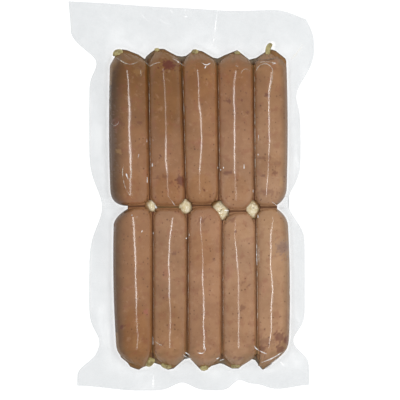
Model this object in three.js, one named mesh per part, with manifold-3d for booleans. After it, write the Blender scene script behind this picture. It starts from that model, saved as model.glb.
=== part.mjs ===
// A vacuum pack of ten cooked sausages, lying flat with its front film up: two rows of five,
// end to end, pressed together in a clear pouch whose welded films stand out round them as a skirt.
// Millimetres, +Z up. X runs across the pack and Y along the sausages. The origin is on the
// surface that the pack lies on, under the middle of the pouch's outline.

import * as THREE from "three";
import { mergeVertices } from "three/addons/utils/BufferGeometryUtils.js";
import Module from "manifold-3d";

const wasm = await Module();
wasm.setup();

// Driving dimensions

const GAP = 0.3; // left between touching pieces
const WELD_HEIGHT = 13; // of the plane in which the two films meet, above the surface
const FLAT_DEPTH = 0.8; // how far a sausage's underside is pressed flat
const SQUARENESS = 2.5; // superellipse power of a sausage's section: 2 is round

// A sausage's ends: a blunt dome where the two rows meet, and a pinched tail at the pack's end.
// "sections" says how far along the dome or tail each cross-section is taken.
const DOME = { length: 13, power: 2.4, sections: [0.015, 0.09, 0.25, 0.52, 1] };
const TAPER = {
  wide: 8,
  high: 15,
  halfWidth: 3.8,
  halfHeight: 2.8,
  fullness: 0.75,
  lean: 1.8,
  sections: [1, 0.72, 0.5, 0.31, 0.15, 0],
};
const KNOT = { halfWidth: 2, halfHeight: 1.7, neck: 0.4, endHalf: 1.1, bend: 0.2 };

// The two rows, each from left to right. "edge" is the row's left side, "lean" how far each crevice
// moves in X for each millimetre along Y, "bow" how far the outermost sides curve in at the row's
// ends. "meets" is where a sausage touches the one in the other row, "tip" where its tail ends,
// "shift" how far that tail is pushed sideways, "knot" the casing end beyond it and "crest" its
// height. "taper" is the length over which it narrows, where that isn't TAPER.wide.
const ROWS = [
  {
    name: "upper",
    edge: -64.2,
    lean: [-0.004, -0.015, -0.028, -0.012, -0.006, 0],
    bow: 1.3,
    sausages: [
      { width: 31.4, meets: -8.4, tip: 111.4, shift: -5.5, knot: 2.8, crest: 25.2 },
      { width: 26.9, meets: -9, tip: 112.4, shift: -4.2, knot: 1.8, crest: 25.8 },
      { width: 26.9, meets: -7.6, tip: 111.6, shift: -3.6, knot: 2.6, crest: 26 },
      { width: 27.8, meets: -12.1, tip: 110.6, shift: 0.4, knot: 2, crest: 25.7 },
      { width: 26.8, meets: -9, tip: 110.6, shift: -1, knot: 7.4, crest: 25.4 },
    ],
  },
  {
    name: "lower",
    edge: -60.7,
    lean: [-0.022, 0, 0.006, 0, -0.008, -0.006],
    bow: 2,
    sausages: [
      { width: 31, meets: -8.4, tip: -133.4, shift: 4.6, knot: 2.2, crest: 25.3, taper: 12 },
      { width: 26.8, meets: -9, tip: -132.4, shift: 0.8, knot: 2.4, crest: 25.9 },
      { width: 27, meets: -7.6, tip: -133.2, shift: -0.4, knot: 3, crest: 26 },
      { width: 26.5, meets: -12.1, tip: -132.6, shift: -1.4, knot: 2.4, crest: 25.6 },
      { width: 26.7, meets: -9, tip: -133, shift: -7.6, knot: 2.8, crest: 25.2, taper: 16 },
    ],
  },
];

// The pouch's outline. Each edge is a straight run with pulls, which are local dents or bulges
// {at, by, over}, and steps, which last from one point on {from, by, over}.
const EDGES = {
  left: {
    base: -79.6,
    slope: 0,
    pulls: [
      { at: 103, by: 5.6, over: 10 },
      { at: -9, by: 10, over: 21 },
      { at: -115, by: 8, over: 13 },
      { at: 155, by: -2, over: 16 },
    ],
    steps: [
      { from: 104, by: -14.6, over: 25 },
      { from: -124, by: -9.6, over: -16 },
    ],
  },
  right: {
    base: 85.6,
    slope: 0,
    pulls: [
      { at: 80, by: -3.6, over: 13 },
      { at: -5, by: -9.8, over: 16 },
      { at: -113, by: -9, over: 11 },
      { at: 142, by: -7, over: 12 },
    ],
    steps: [
      { from: 74, by: 10.6, over: 40 },
      { from: -12, by: 3.3, over: -22 },
      { from: -116, by: 3.4, over: -14 },
    ],
  },
  top: {
    base: 146.3,
    slope: -0.062,
    pulls: [],
    steps: [
      { from: 20, by: 3.6, over: 60 },
      { from: 64, by: -8, over: 36 },
    ],
  },
  bottom: {
    base: -152.3,
    slope: 0,
    pulls: [
      { at: -7, by: 6, over: 10 },
      { at: 37, by: 6.6, over: 7 },
      { at: 50, by: 5, over: 12 },
    ],
    steps: [
      { from: -40, by: 3.4, over: -50 },
      { from: 60, by: 4.6, over: 36 },
    ],
  },
};

// The skirt: where it hugs the block of sausages, how far inside the block it starts, the tent that
// the two films make as they come together, and how the free film sags and waves. The tent is lower
// at the pack's two ends, from TENT.endsFrom away from the middle. FILM.rows says where the free
// film is bent, from its foot to the outline.
const BLOCK = { left: -62.4, right: 76.6, bottom: -133, top: 112, inset: 13 };
const TENT = {
  inside: 5,
  side: 6,
  end: 1.4,
  foot: 7,
  kneeAt: 0.4,
  kneeHalf: 0.42,
  endsFrom: 92,
  endsOver: 30,
};
const FILM = {
  halfThickness: 0.3,
  sag: 7.5,
  sagOver: 32,
  wave: 1.6,
  waveLength: 74,
  waveSlant: 0.6,
  rows: [0, 0.34, 0.68, 1],
};

// Congealed juice in the four gaps where the corners of four sausages meet.
const JELLY = { radius: 6.6, halfHeight: 7, sides: 10 };

const SEGMENTS = 20; // round a sausage
const BODY_STEPS = 4; // along its straight stretch
const SIDE_STEPS = 40; // along each long side of the skirt
const END_STEPS = 26; // along each end of the skirt
const CORNER_PASSES = 8; // to find where two edges of the outline cross
const MERGE_DISTANCE = 1e-4; // below which two points are one

const COLOURS = { sausage: 0xa57658, film: 0xe6eaec, jelly: 0xd9cfa2 };

// Helpers

const smooth = (t) => {
  const s = THREE.MathUtils.clamp(t, 0, 1);
  return s * s * (3 - 2 * s);
};

const lerp = THREE.MathUtils.lerp;

// Sign-keeping power, for superellipses.
const power = (value, exponent) => Math.sign(value) * Math.abs(value) ** exponent;

// One edge of the pouch's outline at a distance along it.
function edgeAt({ base, slope, pulls, steps }, along) {
  let offset = base + slope * along;
  for (const { at, by, over } of pulls) offset += by * Math.exp(-(((along - at) / over) ** 2));
  for (const { from, by, over } of steps) offset += by * smooth((along - from) / over);
  return offset;
}

// A BufferGeometry from points and triangles.
function geometryOf(points, triangles) {
  const geometry = new THREE.BufferGeometry();
  geometry.setAttribute("position", new THREE.Float32BufferAttribute(points.flat(), 3));
  geometry.setIndex(triangles.flat());
  geometry.computeVertexNormals();
  return geometry;
}

// A closed mesh as a solid for booleans, with its shared points merged.
function solidOf(geometry) {
  const bare = geometry.clone();
  bare.deleteAttribute("normal");
  bare.deleteAttribute("uv");
  const merged = mergeVertices(bare, MERGE_DISTANCE);
  return new wasm.Manifold(
    new wasm.Mesh({
      numProp: 3,
      vertProperties: new Float32Array(merged.attributes.position.array),
      triVerts: new Uint32Array(merged.index.array),
    }),
  );
}

// The largest body of a solid, as a BufferGeometry.
function largestPart(solid) {
  const bodies = solid.decompose().sort((a, b) => b.volume() - a.volume());
  const { vertProperties, triVerts } = bodies[0].getMesh();
  const geometry = new THREE.BufferGeometry();
  geometry.setAttribute("position", new THREE.Float32BufferAttribute(vertProperties, 3));
  geometry.setIndex(Array.from(triVerts));
  geometry.computeVertexNormals();
  return geometry;
}

// Sausages

// The crevice on the left of sausage number index of a row (index 5 is the row's right side), at Y.
function creviceX(row, index, y) {
  const { edge, lean, bow, sausages } = row;
  const start = sausages.slice(0, index).reduce((sum, { width }) => sum + width, edge);
  const end = sausages[0].tip;
  const middle = (end + sausages[0].meets) / 2;
  const away = (y - middle) / (end - middle);
  const outermost = index === 0 ? 1 : index === sausages.length ? -1 : 0;
  return start + lean[index] * (y - middle) + outermost * bow * away * away;
}

// The sections of a sausage from its dome to its knot, each {y, x, halfWidth, up, down}.
// "grown" enlarges it all round, for cutting its neighbours clear of it.
function sausageSections(row, index, grown = 0) {
  const { meets, tip, shift, knot, crest, taper = TAPER.wide } = row.sausages[index];
  const outward = Math.sign(tip - meets);
  const start = meets + (outward * GAP) / 2 - outward * grown;
  const up = crest - WELD_HEIGHT;
  const down = WELD_HEIGHT + FLAT_DEPTH;
  const sections = [];

  const add = (y, width, height, sideways = 0) => {
    const left = creviceX(row, index, y) + GAP / 2;
    const right = creviceX(row, index + 1, y) - GAP / 2;
    sections.push({
      y,
      x: (left + right) / 2 + sideways,
      halfWidth: width((right - left) / 2) + grown,
      up: height(up) + grown,
      down: height(down) + grown,
    });
  };

  for (const q of DOME.sections) {
    const scale = (1 - (1 - q) ** DOME.power) ** (1 / DOME.power);
    add(start + outward * q * DOME.length, (w) => w * scale, (h) => h * scale);
  }
  const tail = Math.max(TAPER.high, taper);
  const shoulder = tip - outward * tail;
  const domeEnd = start + outward * DOME.length;
  for (let i = 1; i < BODY_STEPS; i++)
    add(lerp(domeEnd, shoulder, i / BODY_STEPS), (w) => w, (h) => h);
  for (const q of TAPER.sections) {
    const fromTip = q * tail;
    const wide = Math.min(fromTip / taper, 1);
    const high = Math.min(fromTip / TAPER.high, 1);
    add(
      tip - outward * fromTip,
      (w) => lerp(TAPER.halfWidth, w, wide ** TAPER.fullness),
      (h) => lerp(TAPER.halfHeight, h, Math.sin((high * Math.PI) / 2)),
      shift * (1 - wide) ** TAPER.lean,
    );
  }
  const { neck, halfWidth, halfHeight, endHalf, bend } = KNOT;
  add(tip + outward * neck * knot, () => halfWidth, () => halfHeight, shift);
  add(tip + outward * (knot + grown), () => endHalf, () => endHalf, shift + bend * knot);
  return sections;
}

// A solid through the sections, closed by a flat fan at each end and pressed flat underneath.
function loft(sections, floor = 0) {
  const points = [];
  const triangles = [];
  for (const { y, x, halfWidth, up, down } of sections)
    for (let i = 0; i < SEGMENTS; i++) {
      const angle = (2 * Math.PI * i) / SEGMENTS;
      const across = power(Math.cos(angle), 2 / SQUARENESS);
      const high = power(Math.sin(angle), 2 / SQUARENESS);
      const z = WELD_HEIGHT + high * (high > 0 ? up : down);
      points.push([x + halfWidth * across, y, Math.max(z, floor)]);
    }
  const last = (sections.length - 1) * SEGMENTS;
  const first = points.length;
  points.push([sections[0].x, sections[0].y, WELD_HEIGHT]);
  points.push([sections.at(-1).x, sections.at(-1).y, WELD_HEIGHT]);
  const turn = sections.at(-1).y > sections[0].y ? 1 : -1;
  const face = (a, b, c) => triangles.push(turn > 0 ? [a, c, b] : [a, b, c]);
  for (let i = 0; i < SEGMENTS; i++) {
    const next = (i + 1) % SEGMENTS;
    face(first, next, i);
    face(first + 1, last + i, last + next);
    for (let row = 0; row < last; row += SEGMENTS) {
      face(row + i, row + next, row + SEGMENTS + i);
      face(row + next, row + SEGMENTS + next, row + SEGMENTS + i);
    }
  }
  return geometryOf(points, triangles);
}

// Pouch

// A walk round the pouch, anticlockwise from its bottom left corner: for each station, the point
// inside the block where the films start, the point where they hug it and the point on the outline.
function skirtStations() {
  const corner = (vertical, horizontal) => {
    let x = EDGES[vertical].base;
    let y = EDGES[horizontal].base;
    for (let i = 0; i < CORNER_PASSES; i++) {
      x = edgeAt(EDGES[vertical], y);
      y = edgeAt(EDGES[horizontal], x);
    }
    return [x, y];
  };
  const { left, right, bottom, top, inset } = BLOCK;
  const stations = [];
  const side = (steps, from, to, hugFrom, hugTo, edge, upright) => {
    for (let i = 0; i < steps; i++) {
      const t = i / steps;
      const along = upright ? lerp(from[1], to[1], t) : lerp(from[0], to[0], t);
      const across = edgeAt(EDGES[edge], along);
      const hug = [lerp(hugFrom[0], hugTo[0], t), lerp(hugFrom[1], hugTo[1], t)];
      stations.push({
        inner: [
          THREE.MathUtils.clamp(hug[0], left + inset, right - inset),
          THREE.MathUtils.clamp(hug[1], bottom + inset, top - inset),
        ],
        hug,
        outer: upright ? [across, along] : [along, across],
      });
    }
  };
  const bottomLeft = corner("left", "bottom");
  const bottomRight = corner("right", "bottom");
  const topRight = corner("right", "top");
  const topLeft = corner("left", "top");
  side(END_STEPS, bottomLeft, bottomRight, [left, bottom], [right, bottom], "bottom", false);
  side(SIDE_STEPS, bottomRight, topRight, [right, bottom], [right, top], "right", true);
  side(END_STEPS, topRight, topLeft, [right, top], [left, top], "top", false);
  side(SIDE_STEPS, topLeft, bottomLeft, [left, top], [left, bottom], "left", true);
  return stations;
}

// The rows of the skirt at one station, from inside the block to the outline, each
// {x, y, z, half}: a point of the plane between the films, and half the distance between them.
function skirtRows({ inner, hug, outer }) {
  const width = Math.hypot(outer[0] - hug[0], outer[1] - hug[1]);
  const middle = (BLOCK.top + BLOCK.bottom) / 2;
  const atEnd = smooth((Math.abs(hug[1] - middle) - TENT.endsFrom) / TENT.endsOver);
  const hugHalf = lerp(TENT.side, TENT.end, atEnd);
  const sag = FILM.sag * (1 - Math.exp(-((width / FILM.sagOver) ** 2)));
  const foot = TENT.foot / width;
  const row = (t, half) => {
    const x = lerp(hug[0], outer[0], t);
    const y = lerp(hug[1], outer[1], t);
    const phase = (2 * Math.PI * (x + FILM.waveSlant * y)) / FILM.waveLength;
    const wave = FILM.wave * t * Math.sin(phase);
    return { x, y, z: WELD_HEIGHT - sag * t * t + wave, half };
  };
  return [
    { x: inner[0], y: inner[1], z: WELD_HEIGHT, half: TENT.inside },
    row(0, hugHalf),
    row(foot * TENT.kneeAt, hugHalf * TENT.kneeHalf),
    ...FILM.rows.map((t) => row(lerp(foot, 1, t), FILM.halfThickness)),
  ];
}

// The ring between the two films, before the sausages are cut out of it.
function skirtGeometry() {
  const stations = skirtStations().map(skirtRows);
  const rows = stations[0].length;
  const points = [];
  for (const station of stations) {
    for (const { x, y, z, half } of station) points.push([x, y, z + half]);
    for (const { x, y, z, half } of station) points.push([x, y, z - half]);
  }
  const loop = 2 * rows; // upper film outwards, then lower film outwards
  const triangles = [];
  const quad = (a, b, c, d) => triangles.push([a, b, c], [a, c, d]);
  stations.forEach((_, i) => {
    const here = i * loop;
    const next = ((i + 1) % stations.length) * loop;
    for (let r = 0; r + 1 < rows; r++) {
      quad(here + r, here + r + 1, next + r + 1, next + r);
      quad(here + rows + r, next + rows + r, next + rows + r + 1, here + rows + r + 1);
    }
    quad(here, next, next + rows, here + rows);
    quad(here + rows - 1, here + loop - 1, next + loop - 1, next + rows - 1);
  });
  return geometryOf(points, triangles);
}

// Jelly

// The middle of each gap between four sausages.
function gapCentres() {
  const [upper, lower] = ROWS;
  return [1, 2, 3, 4].map((index) => {
    const y = (upper.sausages[index - 1].meets + upper.sausages[index].meets) / 2;
    return [(creviceX(upper, index, y) + creviceX(lower, index, y)) / 2, y];
  });
}

// A short upright post that fills one gap, before the sausages are cut out of it.
function jellyGeometry([x, y]) {
  const { radius, halfHeight, sides } = JELLY;
  const post = new THREE.CylinderGeometry(radius, radius, 2 * halfHeight, sides);
  post.rotateX(Math.PI / 2);
  post.translate(x, y, WELD_HEIGHT);
  return post;
}

// The pack

const material = (color, roughness) =>
  new THREE.MeshStandardMaterial({ color, roughness, metalness: 0 });

const sausageMaterial = material(COLOURS.sausage, 0.35);
const jellyMaterial = material(COLOURS.jelly, 0.2);
const filmMaterial = material(COLOURS.film, 0.15);
filmMaterial.transparent = true;
filmMaterial.opacity = 0.4;

const pack = new THREE.Group();
const cutters = [];

for (const row of ROWS)
  row.sausages.forEach((_, index) => {
    const sausage = new THREE.Mesh(loft(sausageSections(row, index)), sausageMaterial);
    sausage.name = `sausage_${row.name}_${index + 1}`;
    pack.add(sausage);
    cutters.push(solidOf(loft(sausageSections(row, index, GAP), -GAP)));
  });

const sausagesCutOf = (geometry) =>
  largestPart(cutters.reduce((solid, cutter) => solid.subtract(cutter), solidOf(geometry)));

const pouch = new THREE.Mesh(sausagesCutOf(skirtGeometry()), filmMaterial);
pouch.name = "pouch";
pack.add(pouch);

gapCentres().forEach((centre, index) => {
  const jelly = new THREE.Mesh(sausagesCutOf(jellyGeometry(centre)), jellyMaterial);
  jelly.name = `jelly_${index + 1}`;
  pack.add(jelly);
});

export default pack;
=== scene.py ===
"""Looks of a vacuum pack of ten cooked sausages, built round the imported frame.

Sizes in the classes are millimetres, as in the part's source: X across the pack, Y along the
sausages and +Z up, from the middle of the surface that it lies on.
"""

import logging
import math
from dataclasses import dataclass, field
from enum import Enum

import bmesh
import bpy
import numpy as np
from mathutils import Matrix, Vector

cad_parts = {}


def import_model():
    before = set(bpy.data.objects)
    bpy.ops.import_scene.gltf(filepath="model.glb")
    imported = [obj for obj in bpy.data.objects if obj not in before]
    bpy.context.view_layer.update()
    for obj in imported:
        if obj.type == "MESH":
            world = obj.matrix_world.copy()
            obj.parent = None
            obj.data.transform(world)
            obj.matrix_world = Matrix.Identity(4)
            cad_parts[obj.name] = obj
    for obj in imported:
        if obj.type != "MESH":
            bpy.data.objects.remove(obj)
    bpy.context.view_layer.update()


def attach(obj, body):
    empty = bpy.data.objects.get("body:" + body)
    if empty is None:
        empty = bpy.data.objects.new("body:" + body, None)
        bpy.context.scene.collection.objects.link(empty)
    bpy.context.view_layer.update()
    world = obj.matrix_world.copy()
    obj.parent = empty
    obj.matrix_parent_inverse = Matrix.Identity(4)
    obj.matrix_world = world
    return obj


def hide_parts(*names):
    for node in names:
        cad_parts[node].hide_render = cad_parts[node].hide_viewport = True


MM = 0.001  # metres in a millimetre
WELD_HEIGHT = 13.0  # of the plane in which the two films meet
GAP = 0.3  # between touching sausages
SECTION_POWER = 2.7  # superellipse power of a sausage's section on a free side: 2 is round
PRESSED_POWER = 4.2  # on a side that is pressed against its neighbour
CREST = 0.2  # how much rounder the middle of its top is
FILM_CLEARANCE = 0.16  # of the front film above a sausage's crest
REST_HEIGHT = 0.22  # of a sausage's pressed underside, above the back film
TONE_GAIN = 1.05  # on the casings' display colours
VEIL = 0.044  # taken off them, for the pale light that their gloss adds

log = logging.getLogger("pack")


class Slot(Enum):
    """The record's material slots."""

    SAUSAGE = "sausage"
    FILM = "film"
    JELLY = "jelly"


class Mark(Enum):
    """Kinds of spot on a sausage's casing."""

    BRUISE = "bruise"
    BLUSH = "blush"
    STRAW = "straw"
    ASH = "ash"


class Fold(Enum):
    """Kinds of line laid along the film's folds: glint and cream are painted highlights, white is a crease's
    real whitening with a painted highlight, smoke is dark and partly painted shade.
    """

    GLINT = "glint"
    WHITE = "white"
    CREAM_HIGHLIGHT = "cream"
    SMOKE = "smoke"


def linear(red: float, green: float, blue: float) -> tuple[float, float, float]:
    """A display colour of 0 to 255 a channel, as scene light."""
    scaled = (c / 255 for c in (red, green, blue))
    return tuple(c / 12.92 if c <= 0.04045 else ((c + 0.055) / 1.055) ** 2.4 for c in scaled)


def smooth(t: np.ndarray) -> np.ndarray:
    """A soft step from 0 to 1."""
    s = np.clip(t, 0, 1)
    return s * s * (3 - 2 * s)


def soft_min(a: np.ndarray, b: float, blend: float) -> np.ndarray:
    """The lesser of two values, rounded off where they cross."""
    h = np.clip(0.5 + 0.5 * (b - a) / blend, 0, 1)
    return b * (1 - h) + a * h - blend * h * (1 - h)


@dataclass(frozen=True)
class Ripple:
    """Smooth seeded unevenness: a sum of waves that run in many directions.

    Args:
        seed: number that fixes the draw.
        length: mean wavelength.
        stretch: how much longer the waves are along Y than across.
        count: number of waves.
    """

    seed: int
    length: float
    stretch: float = 1.0
    count: int = 18

    def at(self, x: np.ndarray, y: np.ndarray) -> np.ndarray:
        """Values of about -1 to 1 at the given points."""
        rng = np.random.default_rng(self.seed)
        total = np.zeros(np.broadcast(x, y).shape)
        for _ in range(self.count):
            turn = rng.uniform(0, math.tau)
            pitch = math.tau / (self.length * rng.uniform(0.6, 1.7))
            phase = rng.uniform(0, math.tau)
            across = math.cos(turn) * pitch
            along = math.sin(turn) * pitch / self.stretch
            total += np.sin(across * x + along * y + phase)
        return total / math.sqrt(self.count / 2) / 1.6


@dataclass(frozen=True)
class OutlineEdge:
    """One edge of the pouch: a straight run with local pulls and lasting steps.

    Args:
        base: its offset from the middle.
        slope: how far it leans for each millimetre along it.
        pulls: each (at, by, over), a dent or bulge.
        steps: each (start, by, over), a change that lasts.
    """

    base: float
    slope: float
    pulls: tuple[tuple[float, float, float], ...]
    steps: tuple[tuple[float, float, float], ...]

    def at(self, along: np.ndarray) -> np.ndarray:
        """Offset of the edge at each distance along it."""
        offset = self.base + self.slope * along
        for at, by, over in self.pulls:
            offset = offset + by * np.exp(-(((along - at) / over) ** 2))
        for start, by, over in self.steps:
            offset = offset + by * smooth((along - start) / over)
        return offset


@dataclass(frozen=True)
class Outline:
    """The pouch's outline, the block of sausages inside it and the plane of its weld."""

    left: OutlineEdge = OutlineEdge(
        -79.6,
        0,
        ((103, 5.6, 10), (-9, 10, 21), (-115, 8, 13), (155, -2, 16)),
        ((104, -14.6, 25), (-124, -9.6, -16)),
    )
    right: OutlineEdge = OutlineEdge(
        85.6,
        0,
        ((80, -3.6, 13), (-5, -9.8, 16), (-113, -9, 11), (142, -7, 12)),
        ((74, 10.6, 40), (-12, 3.3, -22), (-116, 3.4, -14)),
    )
    top: OutlineEdge = OutlineEdge(146.3, -0.062, (), ((20, 3.6, 60), (64, -8, 36)))
    bottom: OutlineEdge = OutlineEdge(
        -152.3, 0, ((-7, 6, 10), (37, 6.6, 7), (50, 5, 12)), ((-40, 3.4, -50), (60, 4.6, 36))
    )
    block_left: float = -62.4
    block_right: float = 76.6
    block_bottom: float = -133.0
    block_top: float = 112.0
    sag: float = 7.5
    sag_over: float = 32.0
    wave: float = 1.6
    wave_length: float = 74.0
    wave_slant: float = 0.6

    def outward(self, x: np.ndarray, y: np.ndarray) -> tuple[np.ndarray, np.ndarray]:
        """How far points lie from the block to the outline.

        Returns:
            The share of the way, 0 at the block and 1 on the outline, and the skirt's width there.
        """
        wide_left = self.block_left - self.left.at(y)
        wide_right = self.right.at(y) - self.block_right
        wide_bottom = self.block_bottom - self.bottom.at(x)
        wide_top = self.top.at(x) - self.block_top
        to_left = (self.block_left - x) / wide_left
        to_right = (x - self.block_right) / wide_right
        to_bottom = (self.block_bottom - y) / wide_bottom
        to_top = (y - self.block_top) / wide_top
        across = np.clip(np.maximum(to_left, to_right), 0, 1)
        along = np.clip(np.maximum(to_bottom, to_top), 0, 1)
        share = np.clip((across**6 + along**6) ** (1 / 6), 0, 1)
        safe = np.maximum(share, 1e-6)
        side = np.where(to_left > to_right, wide_left, wide_right)
        end = np.where(to_bottom > to_top, wide_bottom, wide_top)
        width = np.hypot(side * across / safe, end * along / safe)
        return share, width

    def mid_plane(self, x: np.ndarray, y: np.ndarray) -> np.ndarray:
        """Height of the plane between the two films."""
        share, width = self.outward(x, y)
        sag = self.sag * (1 - np.exp(-((width / self.sag_over) ** 2)))
        phase = math.tau * (x + self.wave_slant * y) / self.wave_length
        return WELD_HEIGHT - sag * share**2 + self.wave * share * np.sin(phase)


@dataclass(frozen=True)
class Sausage:
    """One sausage: its sizes, its tail, its colour and the path of its crest.

    Args:
        width: across, in the row.
        meets: Y where it touches the other row.
        tip: Y where its tail ends.
        shift: how far the tail is pushed sideways.
        crest: height of its top.
        pale: display colour at its blunt end.
        deep: display colour at its tail.
        taper: length over which it narrows.
        path: (Y, X) points that the crest follows.
        cuts: how far the left and right corners of its blunt end are cut back.
        shade: where its shaded side begins, over how much it deepens, and how far.
    """

    width: float
    meets: float
    tip: float
    shift: float
    crest: float
    pale: tuple[int, int, int]
    deep: tuple[int, int, int]
    taper: float = 8.0
    path: tuple[tuple[float, float], ...] = ()
    cuts: tuple[float, float] = (0.0, 0.0)
    shade: tuple[float, float, float] = (0.0, 1.0, 0.0)

    @property
    def outward(self) -> float:
        """Direction along Y from the blunt end to the tail."""
        return math.copysign(1, self.tip - self.meets)

    def tone(self, x: np.ndarray, y: np.ndarray) -> np.ndarray:
        """Colour of the casing at each point, as scene light."""
        share = smooth((y - self.meets) / (self.tip - self.meets))[..., None]
        colour = np.array(linear(*self.pale)) * (1 - share) + np.array(linear(*self.deep)) * share
        slow = 1 + 0.05 * Ripple(7, 34, 1.4).at(x, y)[..., None]
        colour = np.clip(TONE_GAIN * colour * slow - VEIL, 0.01, 1)
        return np.concatenate([colour, np.ones((*colour.shape[:-1], 1))], axis=-1)


@dataclass(frozen=True)
class Profile:
    """A sausage's section along Y: its middle, half width, and rise and drop from the weld."""

    centre: np.ndarray
    half: np.ndarray
    rise: np.ndarray
    drop: np.ndarray
    from_tip: np.ndarray
    from_start: np.ndarray


@dataclass(frozen=True)
class Row:
    """Five sausages side by side.

    Args:
        name: upper or lower.
        edge: X of the row's left side.
        lean: how far each crevice moves in X for each millimetre along Y.
        bow: how far the outermost sides curve in at the row's ends.
        sausages: from left to right.
        dome_length: of the blunt end.
        dome_power: how square it is: 2 is round.
        tail_length: over which a tail rises to the crest.
        tail_half_width: of the tail's tip.
        tail_half_height: of the tail's tip.
        fullness: power with which a tail widens.
        push: power with which its sideways push fades.
        flat_depth: by which the underside is pressed flat.
        cut_length: over which the blunt end's corners are cut back.
    """

    name: str
    edge: float
    lean: tuple[float, ...]
    bow: float
    sausages: tuple[Sausage, ...]
    dome_length: float = 13.0
    dome_power: float = 2.9
    tail_length: float = 15.0
    tail_half_width: float = 3.6
    tail_half_height: float = 2.7
    fullness: float = 0.78
    push: float = 1.8
    flat_depth: float = 0.8
    cut_length: float = 14.0

    def tone(self, x: np.ndarray, y: np.ndarray) -> np.ndarray:
        """Colour of the nearest sausage's casing at each point."""
        colour = self.sausages[0].tone(x, y)
        for index in range(1, 5):
            beyond = (x > self.crevice(index, y))[..., None]
            colour = np.where(beyond, self.sausages[index].tone(x, y), colour)
        return colour

    def crevice(self, index: int, y: np.ndarray) -> np.ndarray:
        """X of the crevice on the left of a sausage, or of the row's right side for index 5."""
        start = self.edge + sum(s.width for s in self.sausages[:index])
        end = self.sausages[0].tip
        middle = (end + self.sausages[0].meets) / 2
        away = (y - middle) / (end - middle)
        outermost = {0: 1, len(self.sausages): -1}.get(index, 0)
        return start + self.lean[index] * (y - middle) + outermost * self.bow * away**2

    def profile(self, index: int, y: np.ndarray) -> Profile:
        """The section of one sausage at each Y."""
        one = self.sausages[index]
        left = self.crevice(index, y) + GAP / 2
        right = self.crevice(index + 1, y) - GAP / 2
        from_start = (y - one.meets) * one.outward - GAP / 2
        from_tip = (one.tip - y) * one.outward
        corner = np.clip(1 - from_start / self.cut_length, 0, 1) ** 1.5
        left = left + one.cuts[0] * corner
        right = right - one.cuts[1] * corner
        q = np.clip(from_start / self.dome_length, 0, 1)
        dome = (1 - (1 - q) ** self.dome_power) ** (1 / self.dome_power)
        wide = np.clip(from_tip / one.taper, 0, 3)
        high = np.clip(from_tip / max(self.tail_length, one.taper), 0, 1)
        spread = soft_min(wide**self.fullness, 1.0, 0.34)
        lift = np.sin(high * math.pi / 2)
        full = (right - left) / 2
        half = self.tail_half_width + (full - self.tail_half_width) * np.clip(spread, 0, 1)
        rise_full = one.crest - WELD_HEIGHT
        rise = self.tail_half_height + (rise_full - self.tail_half_height) * lift
        drop = self.tail_half_height + (WELD_HEIGHT + self.flat_depth - self.tail_half_height) * lift
        sideways = one.shift * np.clip(1 - wide, 0, 1) ** self.push
        centre = (left + right) / 2 + sideways
        return Profile(centre, half * dome, rise * dome, drop * dome, from_tip, from_start)

    def power(self, index: int, side: np.ndarray) -> np.ndarray:
        """Superellipse power of a sausage's section on its left or right side."""
        free = ((index == 0) & (side < 0)) | ((index == len(self.sausages) - 1) & (side > 0))
        return np.where(free, SECTION_POWER, PRESSED_POWER)

    def crest_tilt(self, index: int, y: np.ndarray, shape: Profile) -> np.ndarray:
        """Slope across the crest that moves its highest line onto the sausage's path."""
        path = self.sausages[index].path
        if not path:
            return np.zeros_like(y)
        at = np.array(sorted(path))
        aside = np.interp(y, at[:, 0], at[:, 1]) - shape.centre
        share = np.clip(np.abs(aside) / np.maximum(shape.half, 1), 0, 0.28)
        slope = share ** (PRESSED_POWER - 1) + 2 * CREST * share * (1 - 2 * share**2)
        slope = slope * shape.rise / np.maximum(shape.half, 1) / np.maximum(1 - 6 * share**2, 0.5)
        return np.sign(aside) * slope * smooth(shape.from_start / 6) * smooth(shape.from_tip / 6)

    def top(self, index: int, x: np.ndarray, y: np.ndarray) -> np.ndarray:
        """Height of one sausage's upper side, or far below where it isn't."""
        shape = self.profile(index, y)
        half = np.maximum(shape.half, 1e-3)
        u = np.clip(np.abs(x - shape.centre) / half, 0, 1)
        inside = (np.abs(x - shape.centre) < half) & (shape.from_start > 0) & (shape.from_tip > 0)
        power = self.power(index, x - shape.centre)
        high = shape.rise * ((1 - u**power) ** (1 / power) - CREST * u**2 * (1 - u**2))
        tilt = self.crest_tilt(index, y, shape) * (x - shape.centre) * (1 - u**2) ** 2
        return np.where(inside, WELD_HEIGHT + high + tilt, -1e3)

    def under(self, index: int, x: np.ndarray, y: np.ndarray) -> np.ndarray:
        """Height of one sausage's underside, or far above where it isn't."""
        shape = self.profile(index, y)
        half = np.maximum(shape.half, 1e-3)
        u = np.clip(np.abs(x - shape.centre) / half, 0, 1)
        inside = (np.abs(x - shape.centre) < half) & (shape.from_start > 0) & (shape.from_tip > 0)
        power = self.power(index, x - shape.centre)
        low = WELD_HEIGHT - shape.drop * (1 - u**power) ** (1 / power)
        return np.where(inside, np.maximum(low, REST_HEIGHT), 1e3)


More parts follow.
